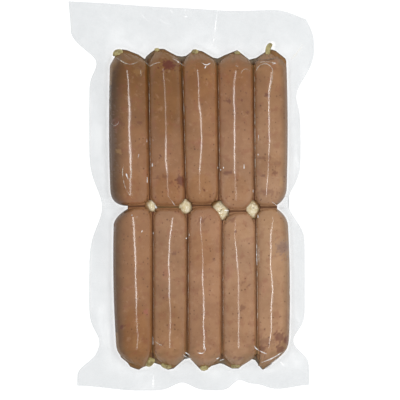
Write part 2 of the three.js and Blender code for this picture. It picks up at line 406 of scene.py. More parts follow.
UPPER = Row(
    "upper",
    -64.2,
    (-0.004, -0.015, -0.028, -0.012, -0.006, 0),
    1.3,
    (
        Sausage(31.4, -8.4, 111.4, -5.5, 25.2, (157, 118, 90), (124, 91, 65),
                path=((26, -48.2), (44, -48.7), (86, -49.4), (97, -50.6)),
                cuts=(1, 0), shade=(-0.02, -0.82, 1)),
        Sausage(26.9, -9, 112.4, -4.2, 25.8, (158, 119, 91), (129, 97, 72),
                path=((4, -18.3), (29, -19.8), (51, -19.8), (84, -21), (99, -22))),
        Sausage(26.9, -7.6, 111.6, -3.6, 26, (162, 124, 95), (142, 104, 76),
                path=((16, 6.5), (29, 7.4), (43, 8.3), (61, 7.4), (87, 5.8), (101, 4.6)),
                cuts=(1, 1.5)),
        Sausage(27.8, -12.1, 110.6, 0.4, 25.7, (166, 130, 103), (146, 107, 80),
                path=((2, 35), (20, 34.2), (88, 34), (95, 34.8)), cuts=(4, 4.5)),
        Sausage(26.8, -9, 110.6, -1, 25.4, (168, 133, 106), (150, 113, 84),
                path=((0, 59), (28, 61), (43, 61.5), (80, 61.3), (94, 63.5)),
                cuts=(0.5, 4), shade=(0.4, 0.6, 0.75)),
    ),
)

LOWER = Row(
    "lower",
    -60.7,
    (-0.022, 0, 0.006, 0, -0.008, -0.006),
    2.0,
    (
        Sausage(31, -8.4, -133.4, 4.6, 25.3, (156, 118, 90), (146, 108, 80), 12,
                ((-18, -46), (-42, -44.3), (-92, -43.2), (-110, -41.8), (-128, -44)),
                (9, 1), (-0.25, -0.65, 0.85)),
        Sausage(26.8, -9, -132.4, 0.8, 25.9, (160, 124, 97), (156, 120, 92),
                path=((-18, -14.5), (-35, -17), (-54, -17.6), (-100, -16.2), (-113, -17)),
                cuts=(0, 2)),
        Sausage(27, -7.6, -133.2, -0.4, 26, (166, 127, 99), (160, 122, 94),
                path=((-29, 7.6), (-49, 9), (-62, 9.2), (-86, 10.2), (-117, 9.8)),
                cuts=(1.5, 3.5)),
        Sausage(26.5, -12.1, -132.6, -1.4, 25.6, (173, 137, 109), (168, 131, 103),
                path=((-36, 34.5), (-43, 35.7), (-64, 37), (-118, 37.2)), cuts=(5, 3)),
        Sausage(26.7, -9, -133, -7.6, 25.2, (174, 139, 109), (170, 133, 104), 16,
                ((-19, 64.7), (-30, 63), (-54, 62.5), (-74, 64), (-105, 63), (-121, 60)),
                (1.5, 5), (0.4, 0.6, 0.7)),
    ),
)

ROWS = (UPPER, LOWER)


@dataclass(frozen=True)
class Rim:
    """Where the meat and its casing flaps end at the pack's top and bottom.

    Args:
        upper: (X, Y) points of the top rim, at its tips, its hollows and where it bends.
        lower: the same of the bottom rim.
        upper_from: Y from which the top flap starts.
        lower_from: Y from which the bottom flap starts.
    """

    upper: tuple[tuple[float, float], ...] = (
        (-61.5, 99.5), (-58.5, 108), (-57, 112.5), (-56, 113.5), (-53.5, 114), (-50, 113.5),
        (-41, 110), (-36, 106.5), (-35, 108.5), (-31, 112), (-27, 114.5), (-21, 114.5),
        (-18.5, 113), (-11, 109), (-7, 108.5), (-4, 109), (2, 113.5), (5, 113.5), (9, 112.5),
        (17.5, 107.5), (21, 107), (26, 109.5), (36, 113.5), (45.5, 106), (51, 107.5),
        (60, 113.5), (63, 114), (66, 113), (73.5, 107), (74.5, 105),
    )
    lower: tuple[tuple[float, float], ...] = (
        (-56.5, -119.5), (-55, -126), (-49.5, -130.5), (-47.5, -133.5), (-44, -135),
        (-40.5, -136), (-38.5, -134.5), (-29, -130.5), (-21.5, -133), (-20, -135), (-18, -136),
        (-13.5, -135), (-5, -127.5), (-1, -127), (8, -136.5), (10.5, -137), (16, -133),
        (22.5, -131), (25, -131.5), (32, -135), (37, -135), (45, -128.5), (47, -127.5),
        (50, -128.5), (53.5, -133.5), (56, -136), (62.5, -131.5), (64, -129.5), (71, -122.5),
        (73.5, -119), (75, -116),
    )
    upper_from: float = 96.0
    lower_from: float = -113.0

    def edge(self, row: Row, x: np.ndarray) -> np.ndarray:
        """Y of the rim over each X."""
        at = np.array(self.upper if row is UPPER else self.lower)
        return np.interp(x, at[:, 0], at[:, 1])

    def depth(self, row: Row, x: np.ndarray, y: np.ndarray) -> np.ndarray:
        """How far inside the rim points lie, along Y; negative outside."""
        at = np.array(self.upper if row is UPPER else self.lower)
        outward = row.sausages[0].outward
        depth = (self.edge(row, x) - y) * outward
        beside = (x < at[0, 0]) | (x > at[-1, 0])
        return np.where(beside, -1.0, depth)

    def top(self, plane: np.ndarray, x: np.ndarray, y: np.ndarray) -> np.ndarray:
        """Least height of the flaps of casing inside the rim, or far below outside it."""
        height = np.full(x.shape, -1e3)
        for row, start in ((UPPER, self.upper_from), (LOWER, self.lower_from)):
            depth = self.depth(row, x, y)
            inside = (depth > 0) & ((y - start) * row.sausages[0].outward > 0)
            rise = 0.35 + 1.9 * np.sqrt(np.clip(depth / 4, 0, 1)) + 0.42 * np.clip(depth - 3.5, 0, 12)
            height = np.where(inside, np.maximum(height, plane + rise), height)
        return height


RIM = Rim()


@dataclass(frozen=True)
class Spots:
    """Marks on the casings, each (X, Y, half width, half length, strength)."""

    bruise: tuple[tuple[float, float, float, float, float], ...] = (
        (-17.2, 101.2, 4.8, 3.4, 1), (-8, 11.2, 3.2, 3.6, 0.9), (-26, 13.6, 1.6, 1, 0.5),
        (-21, 15.2, 1.2, 1, 0.5), (-15.8, 9.8, 1.4, 1, 0.5), (28.8, 73.2, 2.2, 1.2, 0.7),
        (44, 64.4, 1.1, 1.1, 0.6), (28.2, 17.6, 3.2, 1.4, 0.7), (58.7, 77.8, 1.9, 1.5, 0.7),
        (56.2, 15.2, 1.7, 1, 0.7), (64.5, 17.6, 1.6, 1.6, 0.6), (55, 29, 3.6, 0.9, 0.5),
        (-53.6, -101.8, 1.3, 1.7, 0.8), (-13.4, -45, 2, 1.3, 0.6), (-16.7, -76.8, 1, 0.9, 0.5),
        (-22.6, -115.4, 1.8, 1.3, 0.45), (8, -19.2, 2.4, 2.4, 0.5), (32, -19.2, 1.7, 1.6, 0.5),
        (39.8, -67.5, 1, 1, 0.5), (45, -69.8, 1, 1, 0.5), (40, -86.8, 2, 1.5, 0.5),
        (37.5, -126, 2.4, 1, 0.5), (-23.2, 30.4, 0.7, 0.7, 0.9), (10.2, 4.6, 0.8, 0.8, 0.9),
        (39.5, 73.4, 0.7, 0.7, 0.9), (42.8, 79.4, 0.7, 0.7, 0.8), (17.5, -49.2, 0.8, 0.8, 0.9),
        (34.8, -28.1, 0.8, 0.8, 0.9), (-35.2, -8.2, 2.2, 1.4, 0.5), (66.2, -110.2, 1.4, 2.2, 0.4),
        (68.6, -109.6, 3.4, 3, 0.75), (73.4, -112.2, 1.8, 3, 0.8), (69, -119, 2.8, 2.6, 0.7),
        (57.8, -112.8, 5, 2.4, 0.4), (54, -118.6, 3.6, 2, 0.55), (-39.8, 99, 2, 1.2, 0.3),
        (-54.6, 55.6, 3, 1.4, 0.35), (-40, 56.4, 2.4, 1.2, 0.5), (-20, 14.6, 2.8, 1, 0.5),
        (71.6, -40.4, 4.4, 3.4, 0.4), (48.4, -112, 1.4, 1, 0.4), (14, -6.6, 3.6, 2, 0.3),
        (-3, -5.6, 4, 1.6, 0.3), (66.5, 25, 2.4, 1.6, 0.35), (60, 2.6, 5.4, 1.8, 0.4),
    )
    blush: tuple[tuple[float, float, float, float, float], ...] = (
        (-34.4, -90.4, 1.6, 1.8, 0.7), (-58, 55, 2.4, 5, 0.2), (30, -58, 3, 5, 0.25),
        (58, -70, 3, 6, 0.2), (6, 40, 3, 4, 0.2), (-20, -60, 3, 6, 0.2),
    )
    straw: tuple[tuple[float, float, float, float, float], ...] = (
        (-55.8, 34, 2.2, 1.4, 0.8), (69.9, 10.2, 1.4, 2.8, 0.7), (44, -30, 2.6, 3, 0.25),
        (-41, 96, 3, 2.2, 0.4), (12, 92, 3, 2, 0.3), (-42, -112, 3, 6, 0.25),
    )
    ash: tuple[tuple[float, float, float, float, float], ...] = (
        (71.4, -40, 5, 5, 0.5), (-61.2, 40, 2.4, 20, 0.3), (-60.4, -26.4, 2.4, 2, 0.5),
    )

    def paint(self, kind: Mark, x: np.ndarray, y: np.ndarray) -> np.ndarray:
        """Strength of one kind of mark at each point, with frayed rims."""
        frayed = np.clip(1 + 0.6 * Ripple(41, 3).at(x, y) + 0.4 * Ripple(42, 1.6).at(x, y), 0.2, 3)
        total = np.zeros(x.shape)
        for at_x, at_y, wide, long, strength in getattr(self, kind.value):
            away = ((x - at_x) / wide) ** 2 + ((y - at_y) / long) ** 2
            total = np.maximum(total, strength * smooth(1.6 - away * frayed))
        return total


class Recipe:
    """Adds nodes to one node tree and joins them."""

    def __init__(self, tree: bpy.types.NodeTree) -> None:
        """Keeps the tree that it adds to."""
        self.tree = tree

    def add(self, kind: str, values: dict | None = None, **settings: object) -> bpy.types.Node:
        """Adds one node.

        Args:
            kind: Blender's name for the node, without its ShaderNode prefix.
            values: what each input gets: a number, a colour or another node's output.
            settings: the node's own properties.

        Returns:
            The node.
        """
        node = self.tree.nodes.new("ShaderNode" + kind)
        for name, value in settings.items():
            setattr(node, name, value)
        for name, value in (values or {}).items():
            self.feed(node.inputs[name], value)
        return node

    def feed(self, socket: bpy.types.NodeSocket, value: object) -> None:
        """Joins an output to the socket, or sets its plain value."""
        if isinstance(value, bpy.types.NodeSocket):
            self.tree.links.new(value, socket)
        elif isinstance(value, tuple) and len(value) == 3 and socket.type == "RGBA":
            socket.default_value = (*value, 1.0)
        else:
            socket.default_value = value

    def attribute(self, name: str) -> bpy.types.NodeSocket:
        """A value painted on the mesh's points."""
        return self.add("Attribute", attribute_name=name).outputs["Fac"]

    def tint(self, name: str) -> bpy.types.NodeSocket:
        """A colour painted on the mesh's points."""
        return self.add("Attribute", attribute_name=name).outputs["Color"]

    def noise(self, scale: float, detail: float = 3, rough: float = 0.55,
              squeeze: tuple[float, float, float] = (1, 1, 1)) -> bpy.types.NodeSocket:
        """Noise in the object's own space, with so many features to a metre."""
        place = self.add("TexCoord").outputs["Object"]
        moved = self.add("Mapping", {"Vector": place, "Scale": squeeze}).outputs["Vector"]
        values = {"Vector": moved, "Scale": scale, "Detail": detail, "Roughness": rough}
        return self.add("TexNoise", values).outputs["Fac"]

    def between(self, value: object, low: float, high: float, start: float = 0.0,
                end: float = 1.0) -> bpy.types.NodeSocket:
        """Carries a range of values onto another, cut off at its ends."""
        values = {"Value": value, "From Min": low, "From Max": high, "To Min": start, "To Max": end}
        return self.add("MapRange", values, interpolation_type="SMOOTHSTEP").outputs["Result"]

    def sum_of(self, how: str, a: object, b: object, clamp: bool = False) -> bpy.types.NodeSocket:
        """Adds, multiplies or otherwise combines two values."""
        node = self.add("Math", operation=how, use_clamp=clamp)
        self.feed(node.inputs[0], a)
        self.feed(node.inputs[1], b)
        return node.outputs[0]

    def mix(self, share: object, a: object, b: object, blend: str = "MIX") -> bpy.types.NodeSocket:
        """Mixes two colours."""
        node = self.add("Mix", data_type="RGBA", blend_type=blend)
        self.feed(node.inputs[0], share)
        self.feed(node.inputs[6], a)
        self.feed(node.inputs[7], b)
        return node.outputs[2]

    def bump(self, height: object, strength: float, distance: float) -> bpy.types.NodeSocket:
        """A normal from a height."""
        values = {"Height": height, "Strength": strength, "Distance": distance}
        return self.add("Bump", values).outputs["Normal"]


class Effects:
    """Shader groups that several finishes share."""

    def __init__(self) -> None:
        """Builds the groups once."""
        self.specks = self._specks()
        self.crinkle = self._crinkle()

    @staticmethod
    def _start(name: str, inputs: dict[str, float], outputs: tuple[str, ...]) -> tuple:
        """Opens a group with named float sockets."""
        tree = bpy.data.node_groups.new(name, "ShaderNodeTree")
        for label, value in inputs.items():
            socket = tree.interface.new_socket(label, in_out="INPUT", socket_type="NodeSocketFloat")
            socket.default_value = value
        for label in outputs:
            tree.interface.new_socket(label, in_out="OUTPUT", socket_type="NodeSocketFloat")
        start = tree.nodes.new("NodeGroupInput")
        end = tree.nodes.new("NodeGroupOutput")
        return tree, Recipe(tree), start.outputs, end.inputs

    def _specks(self) -> bpy.types.NodeTree:
        """Fine dark specks, pale grains and slow mottling of meat under its casing."""
        inputs = {"Speck Scale": 330.0, "Grain Scale": 260.0, "Mottle Scale": 75.0}
        tree, make, given, out = self._start(
            "Casing Specks", inputs, ("Specks", "Grains", "Mottle", "Smudge", "Relief")
        )
        place = make.add("TexCoord").outputs["Object"]

        def noise(scale: bpy.types.NodeSocket, detail: float) -> bpy.types.NodeSocket:
            """Noise at a given scale."""
            values = {"Vector": place, "Scale": scale, "Detail": detail, "Roughness": 0.6}
            return make.add("TexNoise", values).outputs["Fac"]

        grain = noise(given["Grain Scale"], 3)
        slow = noise(given["Mottle Scale"], 4)
        smudge = noise(make.sum_of("MULTIPLY", given["Mottle Scale"], 2.1), 3)
        values = {"Vector": place, "Scale": given["Speck Scale"], "Randomness": 1.0}
        cell = make.add("TexVoronoi", values, feature="F1")
        parts = make.add("SeparateColor", {"Color": cell.outputs["Color"]}).outputs
        reach = make.between(parts["Red"], 0.2, 1, 0.08, 0.26)
        ragged = make.sum_of("ADD", cell.outputs["Distance"], make.between(grain, 0.3, 0.7, -0.05, 0.05))
        dot = make.sum_of("DIVIDE", make.sum_of("SUBTRACT", reach, ragged), 0.06, clamp=True)
        make.feed(out["Specks"], make.sum_of("MULTIPLY", dot, make.between(parts["Green"], 0, 1, 0.5, 1)))
        make.feed(out["Grains"], make.between(grain, 0.56, 0.75))
        make.feed(out["Mottle"], make.between(slow, 0.34, 0.66))
        make.feed(out["Smudge"], make.between(smudge, 0.52, 0.66))
        make.feed(out["Relief"], make.sum_of("SUBTRACT", grain, make.sum_of("MULTIPLY", dot, 0.3)))
        return tree

    def _crinkle(self) -> bpy.types.NodeTree:
        """Small crinkles of a film drawn tight, with the haze that they scatter."""
        inputs = {"Crinkle Scale": 150.0, "Haze Scale": 60.0}
        tree, make, given, out = self._start("Film Crinkle", inputs, ("Height", "Haze"))
        place = make.add("TexCoord").outputs["Object"]
        along = make.add("Mapping", {"Vector": place, "Scale": (1, 0.45, 1)}).outputs["Vector"]
        values = {"Vector": along, "Scale": given["Crinkle Scale"], "Detail": 3, "Roughness": 0.5}
        crinkle = make.add("TexNoise", values).outputs["Fac"]
        values = {"Vector": place, "Scale": given["Haze Scale"], "Detail": 4, "Roughness": 0.6}
        haze = make.add("TexNoise", values).outputs["Fac"]
        make.feed(out["Height"], crinkle)
        make.feed(out["Haze"], make.between(haze, 0.35, 0.7))
        return tree

    @staticmethod
    def place(make: Recipe, tree: bpy.types.NodeTree, values: dict) -> bpy.types.Node:
        """Places a group in a material with its own values."""
        node = make.tree.nodes.new("ShaderNodeGroup")
        node.node_tree = tree
        for name, value in values.items():
            make.feed(node.inputs[name], value)
        return node


def new_material(name: str) -> tuple[bpy.types.Material, Recipe, bpy.types.Node]:
    """An empty material with one Principled shader joined to its output."""
    material = bpy.data.materials.new(name)
    material.use_nodes = True
    material.node_tree.nodes.clear()
    make = Recipe(material.node_tree)
    shader = make.add("BsdfPrincipled")
    out = make.add("OutputMaterial")
    make.tree.links.new(shader.outputs["BSDF"], out.inputs["Surface"])
    return material, make, shader


@dataclass(frozen=True)
class CasingFinish:
    """Cooked casing under its tight film: satin brown, olive towards its tail, with painted shade low on its
    sides.

    The film that clings to a casing is its clear coat.

    Args:
        flank: painted shade, what the colour low on the sides is multiplied by.
        outer: what the shaded outer sides' colour is multiplied by.
        tail: colour of the tail.
        bruise: colour of the purple brown marks.
        blush: colour of the reddish marks.
        straw: colour of the yellowish marks.
        ash: colour of the greyish marks.
        grain: colour of the pale grains of fat.
        smudge: colour of the slow reddish clouds.
        speck: colour of the fine specks.
    """

    flank: tuple[float, float, float] = (0.80, 0.70, 0.64)
    outer: tuple[float, float, float] = (0.36, 0.38, 0.34)
    tail: tuple[float, float, float] = linear(124, 92, 56)
    bruise: tuple[float, float, float] = linear(90, 36, 32)
    blush: tuple[float, float, float] = linear(164, 94, 80)
    straw: tuple[float, float, float] = linear(190, 152, 96)
    ash: tuple[float, float, float] = linear(128, 112, 108)
    grain: tuple[float, float, float] = linear(190, 152, 122)
    smudge: tuple[float, float, float] = linear(134, 76, 54)
    speck: tuple[float, float, float] = linear(96, 58, 38)

    def make(self, effects: Effects) -> bpy.types.Material:
        """Builds the material.

        Args:
            effects: the shared groups.

        Returns:
            The material, which reads what Casings paints on each mesh.
        """
        material, make, shader = new_material("casing")
        specks = effects.place(make, effects.specks, {}).outputs
        colour = make.tint("tone")
        mottle = make.mix(specks["Mottle"], (0.90, 0.87, 0.85), (1.07, 1.08, 1.10))
        colour = make.mix(1.0, colour, mottle, "MULTIPLY")
        grains = make.sum_of("MULTIPLY", specks["Grains"], 0.22)
        colour = make.mix(grains, colour, self.grain)
        smudge = make.sum_of("MULTIPLY", specks["Smudge"], 0.3)
        colour = make.mix(smudge, colour, self.smudge)
        # Painted shade: darker low on the sides towards the crevices, and across the outer sides of the end
        # sausages.
        shade = make.mix(make.attribute("flank"), (1, 1, 1), self.flank)
        colour = make.mix(1.0, colour, shade, "MULTIPLY")
        shade = make.mix(make.attribute("outer"), (1, 1, 1), self.outer)
        colour = make.mix(1.0, colour, shade, "MULTIPLY")
        tail = make.sum_of("MULTIPLY", make.attribute("tail"), 0.85)
        colour = make.mix(tail, colour, self.tail)
        for kind, share in ((Mark.BRUISE, 0.78), (Mark.BLUSH, 0.7), (Mark.STRAW, 0.3), (Mark.ASH, 0.65)):
            strength = make.sum_of("MULTIPLY", make.attribute(kind.value), share)
            colour = make.mix(strength, colour, getattr(self, kind.value))
        dark = make.sum_of("MULTIPLY", specks["Specks"], 0.7)
        colour = make.mix(dark, colour, self.speck)
        make.feed(shader.inputs["Base Color"], colour)
        make.feed(shader.inputs["Roughness"], make.between(specks["Mottle"], 0, 1, 0.42, 0.55))
        make.feed(shader.inputs["Normal"], make.bump(specks["Relief"], 0.35, 0.0004))
        make.feed(shader.inputs["Coat Weight"], make.between(make.attribute("dull"), 0, 1, 0.48, 0.1))
        shader.inputs["Coat Roughness"].default_value = 0.09
        shader.inputs["Coat IOR"].default_value = 1.8
        shader.inputs["Specular IOR Level"].default_value = 0.1
        return material


@dataclass(frozen=True)
class KnotFinish:
    """Twisted casing ends: olive yellow, translucent and wet."""

    light: tuple[float, float, float] = linear(190, 177, 120)
    dark: tuple[float, float, float] = linear(132, 116, 68)
    # groove: painted shade in the twists and under the knot
    groove: tuple[float, float, float] = linear(84, 66, 38)
    speck: tuple[float, float, float] = linear(70, 48, 28)

    def make(self, effects: Effects) -> bpy.types.Material:
        """Builds the material with the shared groups."""
        material, make, shader = new_material("knot")
        specks = effects.place(make, effects.specks, {"Mottle Scale": 240.0}).outputs
        colour = make.mix(specks["Mottle"], self.dark, self.light)
        # Painted shade: darker in the twists and on the underside.
        colour = make.mix(make.attribute("flank"), colour, self.groove)
        dark = make.sum_of("MULTIPLY", specks["Specks"], 0.4)
        colour = make.mix(dark, colour, self.speck)
        make.feed(shader.inputs["Base Color"], colour)
        make.feed(shader.inputs["Roughness"], make.between(specks["Mottle"], 0, 1, 0.25, 0.42))
        make.feed(shader.inputs["Normal"], make.bump(specks["Relief"], 0.5, 0.0005))
        shader.inputs["Coat Weight"].default_value = 0.3
        shader.inputs["Coat Roughness"].default_value = 0.15
        return material


@dataclass(frozen=True)
class JellyFinish:
    """Congealed juice: pale cream yellow, wet, with a browner rim."""

    light: tuple[float, float, float] = linear(230, 218, 188)
    dark: tuple[float, float, float] = linear(206, 186, 138)
    rim: tuple[float, float, float] = linear(144, 108, 66)

    def make(self, effects: Effects) -> bpy.types.Material:
        """Builds the material with the shared groups."""
        material, make, shader = new_material("jelly")
        values = {"Mottle Scale": 330.0, "Grain Scale": 900.0}
        specks = effects.place(make, effects.specks, values).outputs
        colour = make.mix(specks["Mottle"], self.dark, self.light)
        colour = make.mix(make.attribute("rim"), colour, self.rim)
        make.feed(shader.inputs["Base Color"], colour)
        make.feed(shader.inputs["Roughness"], make.between(specks["Grains"], 0, 1, 0.16, 0.3))
        make.feed(shader.inputs["Normal"], make.bump(specks["Relief"], 0.2, 0.0003))
        shader.inputs["Coat Weight"].default_value = 0.5
        shader.inputs["Coat Roughness"].default_value = 0.08
        return material


@dataclass(frozen=True)
class FilmFinish:
    """Clear film: pale grey where it stands free, unseen where it clings to its contents.

    Args:
        free: colour of the free skirt.
        haze: colour of milky folds.
        free_alpha: how much of the skirt shows.
    """

    free: tuple[float, float, float] = (0.42, 0.455, 0.47)
    haze: tuple[float, float, float] = (0.9, 0.92, 0.93)
    free_alpha: float = 0.265

    def make(self, effects: Effects, name: str) -> bpy.types.Material:
        """Builds the material.

        Args:
            effects: the shared groups.
            name: of the material.

        Returns:
            The material, which reads what the film paints on its mesh.
        """
        material, make, shader = new_material(name)
        crinkle = effects.place(make, effects.crinkle, {}).outputs
        cling = make.attribute("cling")
        haze = make.attribute("haze")
        colour = make.mix(haze, self.free, self.haze)
        make.feed(shader.inputs["Base Color"], colour)
        alpha = make.between(cling, 0, 1, self.free_alpha, 0)
        uneven = make.between(crinkle["Haze"], 0, 1, 0.96, 1.04)
        alpha = make.sum_of("MULTIPLY", alpha, uneven)
        # Painted light: near the meat the skirt shows less, a pale halo that also lifts the shade there.
        thin = make.between(make.attribute("thin"), 0, 1, 1.0, 0.3)
        alpha = make.sum_of("MULTIPLY", alpha, thin)
        alpha = make.sum_of("ADD", alpha, make.sum_of("MULTIPLY", haze, 0.6), clamp=True)
        make.feed(shader.inputs["Alpha"], alpha)
        make.feed(shader.inputs["Roughness"], make.between(crinkle["Haze"], 0, 1, 0.28, 0.42))
        make.feed(shader.inputs["Normal"], make.bump(crinkle["Height"], 0.12, 0.0004))
        shader.inputs["IOR"].default_value = 1.8
        shader.inputs["Specular IOR Level"].default_value = 1.0
        return material


@dataclass(frozen=True)
class FoldFinish:
    """A sharp fold in the film with painted light along it: white, partly a crease's real whitening, and
    cream are painted highlights; smoke grey is partly painted shade.

    Args:
        kind: of fold.
        colour: painted along it, pale for the highlights and dark for smoke.
        strength: how much of it shows.
        roughness: of its surface.
        glow: painted highlight, light that it gives off though it is no lamp.
    """

    kind: Fold
    colour: tuple[float, float, float]
    strength: float
    roughness: float
    glow: float = 0.0

    def make(self, effects: Effects) -> bpy.types.Material:
        """Builds the material with the shared groups."""
        material, make, shader = new_material("fold_" + self.kind.value)
        crinkle = effects.place(make, effects.crinkle, {"Haze Scale": 420.0}).outputs
        uneven = make.between(crinkle["Haze"], 0, 1, 0.55 * self.strength, self.strength)
        alpha = make.sum_of("MULTIPLY", uneven, make.attribute("show"))
        make.feed(shader.inputs["Alpha"], alpha)
        shade = make.mix(crinkle["Haze"], tuple(0.86 * c for c in self.colour), self.colour)
        make.feed(shader.inputs["Base Color"], shade)
        shader.inputs["Roughness"].default_value = self.roughness
        make.feed(shader.inputs["Normal"], make.bump(crinkle["Height"], 0.4, 0.0003))
        shader.inputs["Specular IOR Level"].default_value = 0.8
        # Painted highlight: the fold glows in its own colour.
        shader.inputs["Emission Color"].default_value = (*self.colour, 1)
        shader.inputs["Emission Strength"].default_value = self.glow
        return material


# Glint, white and cream glow as painted highlights; smoke is a dark line, partly painted shade.
FOLD_FINISHES = (
    FoldFinish(Fold.GLINT, (1.0, 1.0, 0.98), 1.0, 0.25, 0.3),
    FoldFinish(Fold.WHITE, (1.0, 1.0, 1.0), 0.95, 0.3, 0.35),
    FoldFinish(Fold.CREAM_HIGHLIGHT, (0.93, 0.88, 0.76), 0.75, 0.35, 0.12),
    FoldFinish(Fold.SMOKE, (0.12, 0.085, 0.05), 0.7, 0.3),
)


def grid_faces(rows: int, columns: int, wrap: bool = False) -> np.ndarray:
    """Quads of a grid of points, row by row.

    Args:
        rows: number of rows.
        columns: points in each row.
        wrap: whether each row closes on itself.

    Returns:
        One line of four point numbers for each face.
    """
    across = np.arange(columns if wrap else columns - 1)
    beside = (across + 1) % columns
    base = np.arange(rows - 1)[:, None] * columns
    quads = (base + across, base + beside, base + columns + beside, base + columns + across)
    return np.stack([q.ravel() for q in quads], axis=1)


def new_piece(name: str, points: np.ndarray, faces: list, material: bpy.types.Material,
              paint: dict[str, np.ndarray] | None = None) -> bpy.types.Object:
    """A smooth-shaded mesh object.

    Args:
        name: of the piece.
        points: in millimetres.
        faces: point numbers of each face.
        material: its finish.
        paint: values or colours painted on its points.

    Returns:
        The object, in the scene.
    """
    mesh = bpy.data.meshes.new(name)
    mesh.from_pydata((np.asarray(points) * MM).tolist(), [], [tuple(map(int, f)) for f in faces])
    mesh.shade_smooth()
    for label, values in (paint or {}).items():
        coloured = values.ndim == 2
        made = mesh.attributes.new(label, "FLOAT_COLOR" if coloured else "FLOAT", "POINT")
        made.data.foreach_set("color" if coloured else "value", values.astype(np.float32).ravel())
    mesh.materials.append(material)
    piece = bpy.data.objects.new(name, mesh)
    bpy.context.scene.collection.objects.link(piece)
    return piece


def new_loft(name: str, grid: np.ndarray, material: bpy.types.Material,
             paint: dict[str, np.ndarray], caps: np.ndarray | None = None) -> bpy.types.Object:
    """A closed piece through rings of points, with a fan at each end, that faces outward.

    Args:
        name: of the piece.
        grid: the points of each ring, ring by ring, in millimetres.
        material: its finish.
        paint: values or colours on the rings' points.
        caps: the two fans' middles, or None for the rings' own.

    Returns:
        The object, in the scene.
    """
    rows, ring = grid.shape[:2]
    ends = grid[[0, -1]].mean(axis=1) if caps is None else caps
    points = np.concatenate([grid.reshape(-1, 3), ends])
    faces = grid_faces(rows, ring, True).tolist()
    last = (rows - 1) * ring
    for k in range(ring):
        beside = (k + 1) % ring
        faces.append((rows * ring, beside, k))
        faces.append((rows * ring + 1, last + k, last + beside))
    painted = {}
    for label, values in paint.items():
        flat = values.reshape(rows * ring, *values.shape[2:])
        painted[label] = np.concatenate([flat, values[[0, -1]].mean(axis=1)])
    piece = new_piece(name, points, faces, material, painted)
    work = bmesh.new()
    work.from_mesh(piece.data)
    if work.calc_volume(signed=True) < 0:
        bmesh.ops.reverse_faces(work, faces=work.faces)
    work.to_mesh(piece.data)
    work.free()
    return piece


def settle(piece: bpy.types.Object, slot: Slot, *nodes: str) -> None:
    """Rides a piece on the pack and reports it."""
    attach(piece, "root")
    if nodes:
        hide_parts(*nodes)
    log.info("%s: %d faces", piece.name, len(piece.data.polygons))


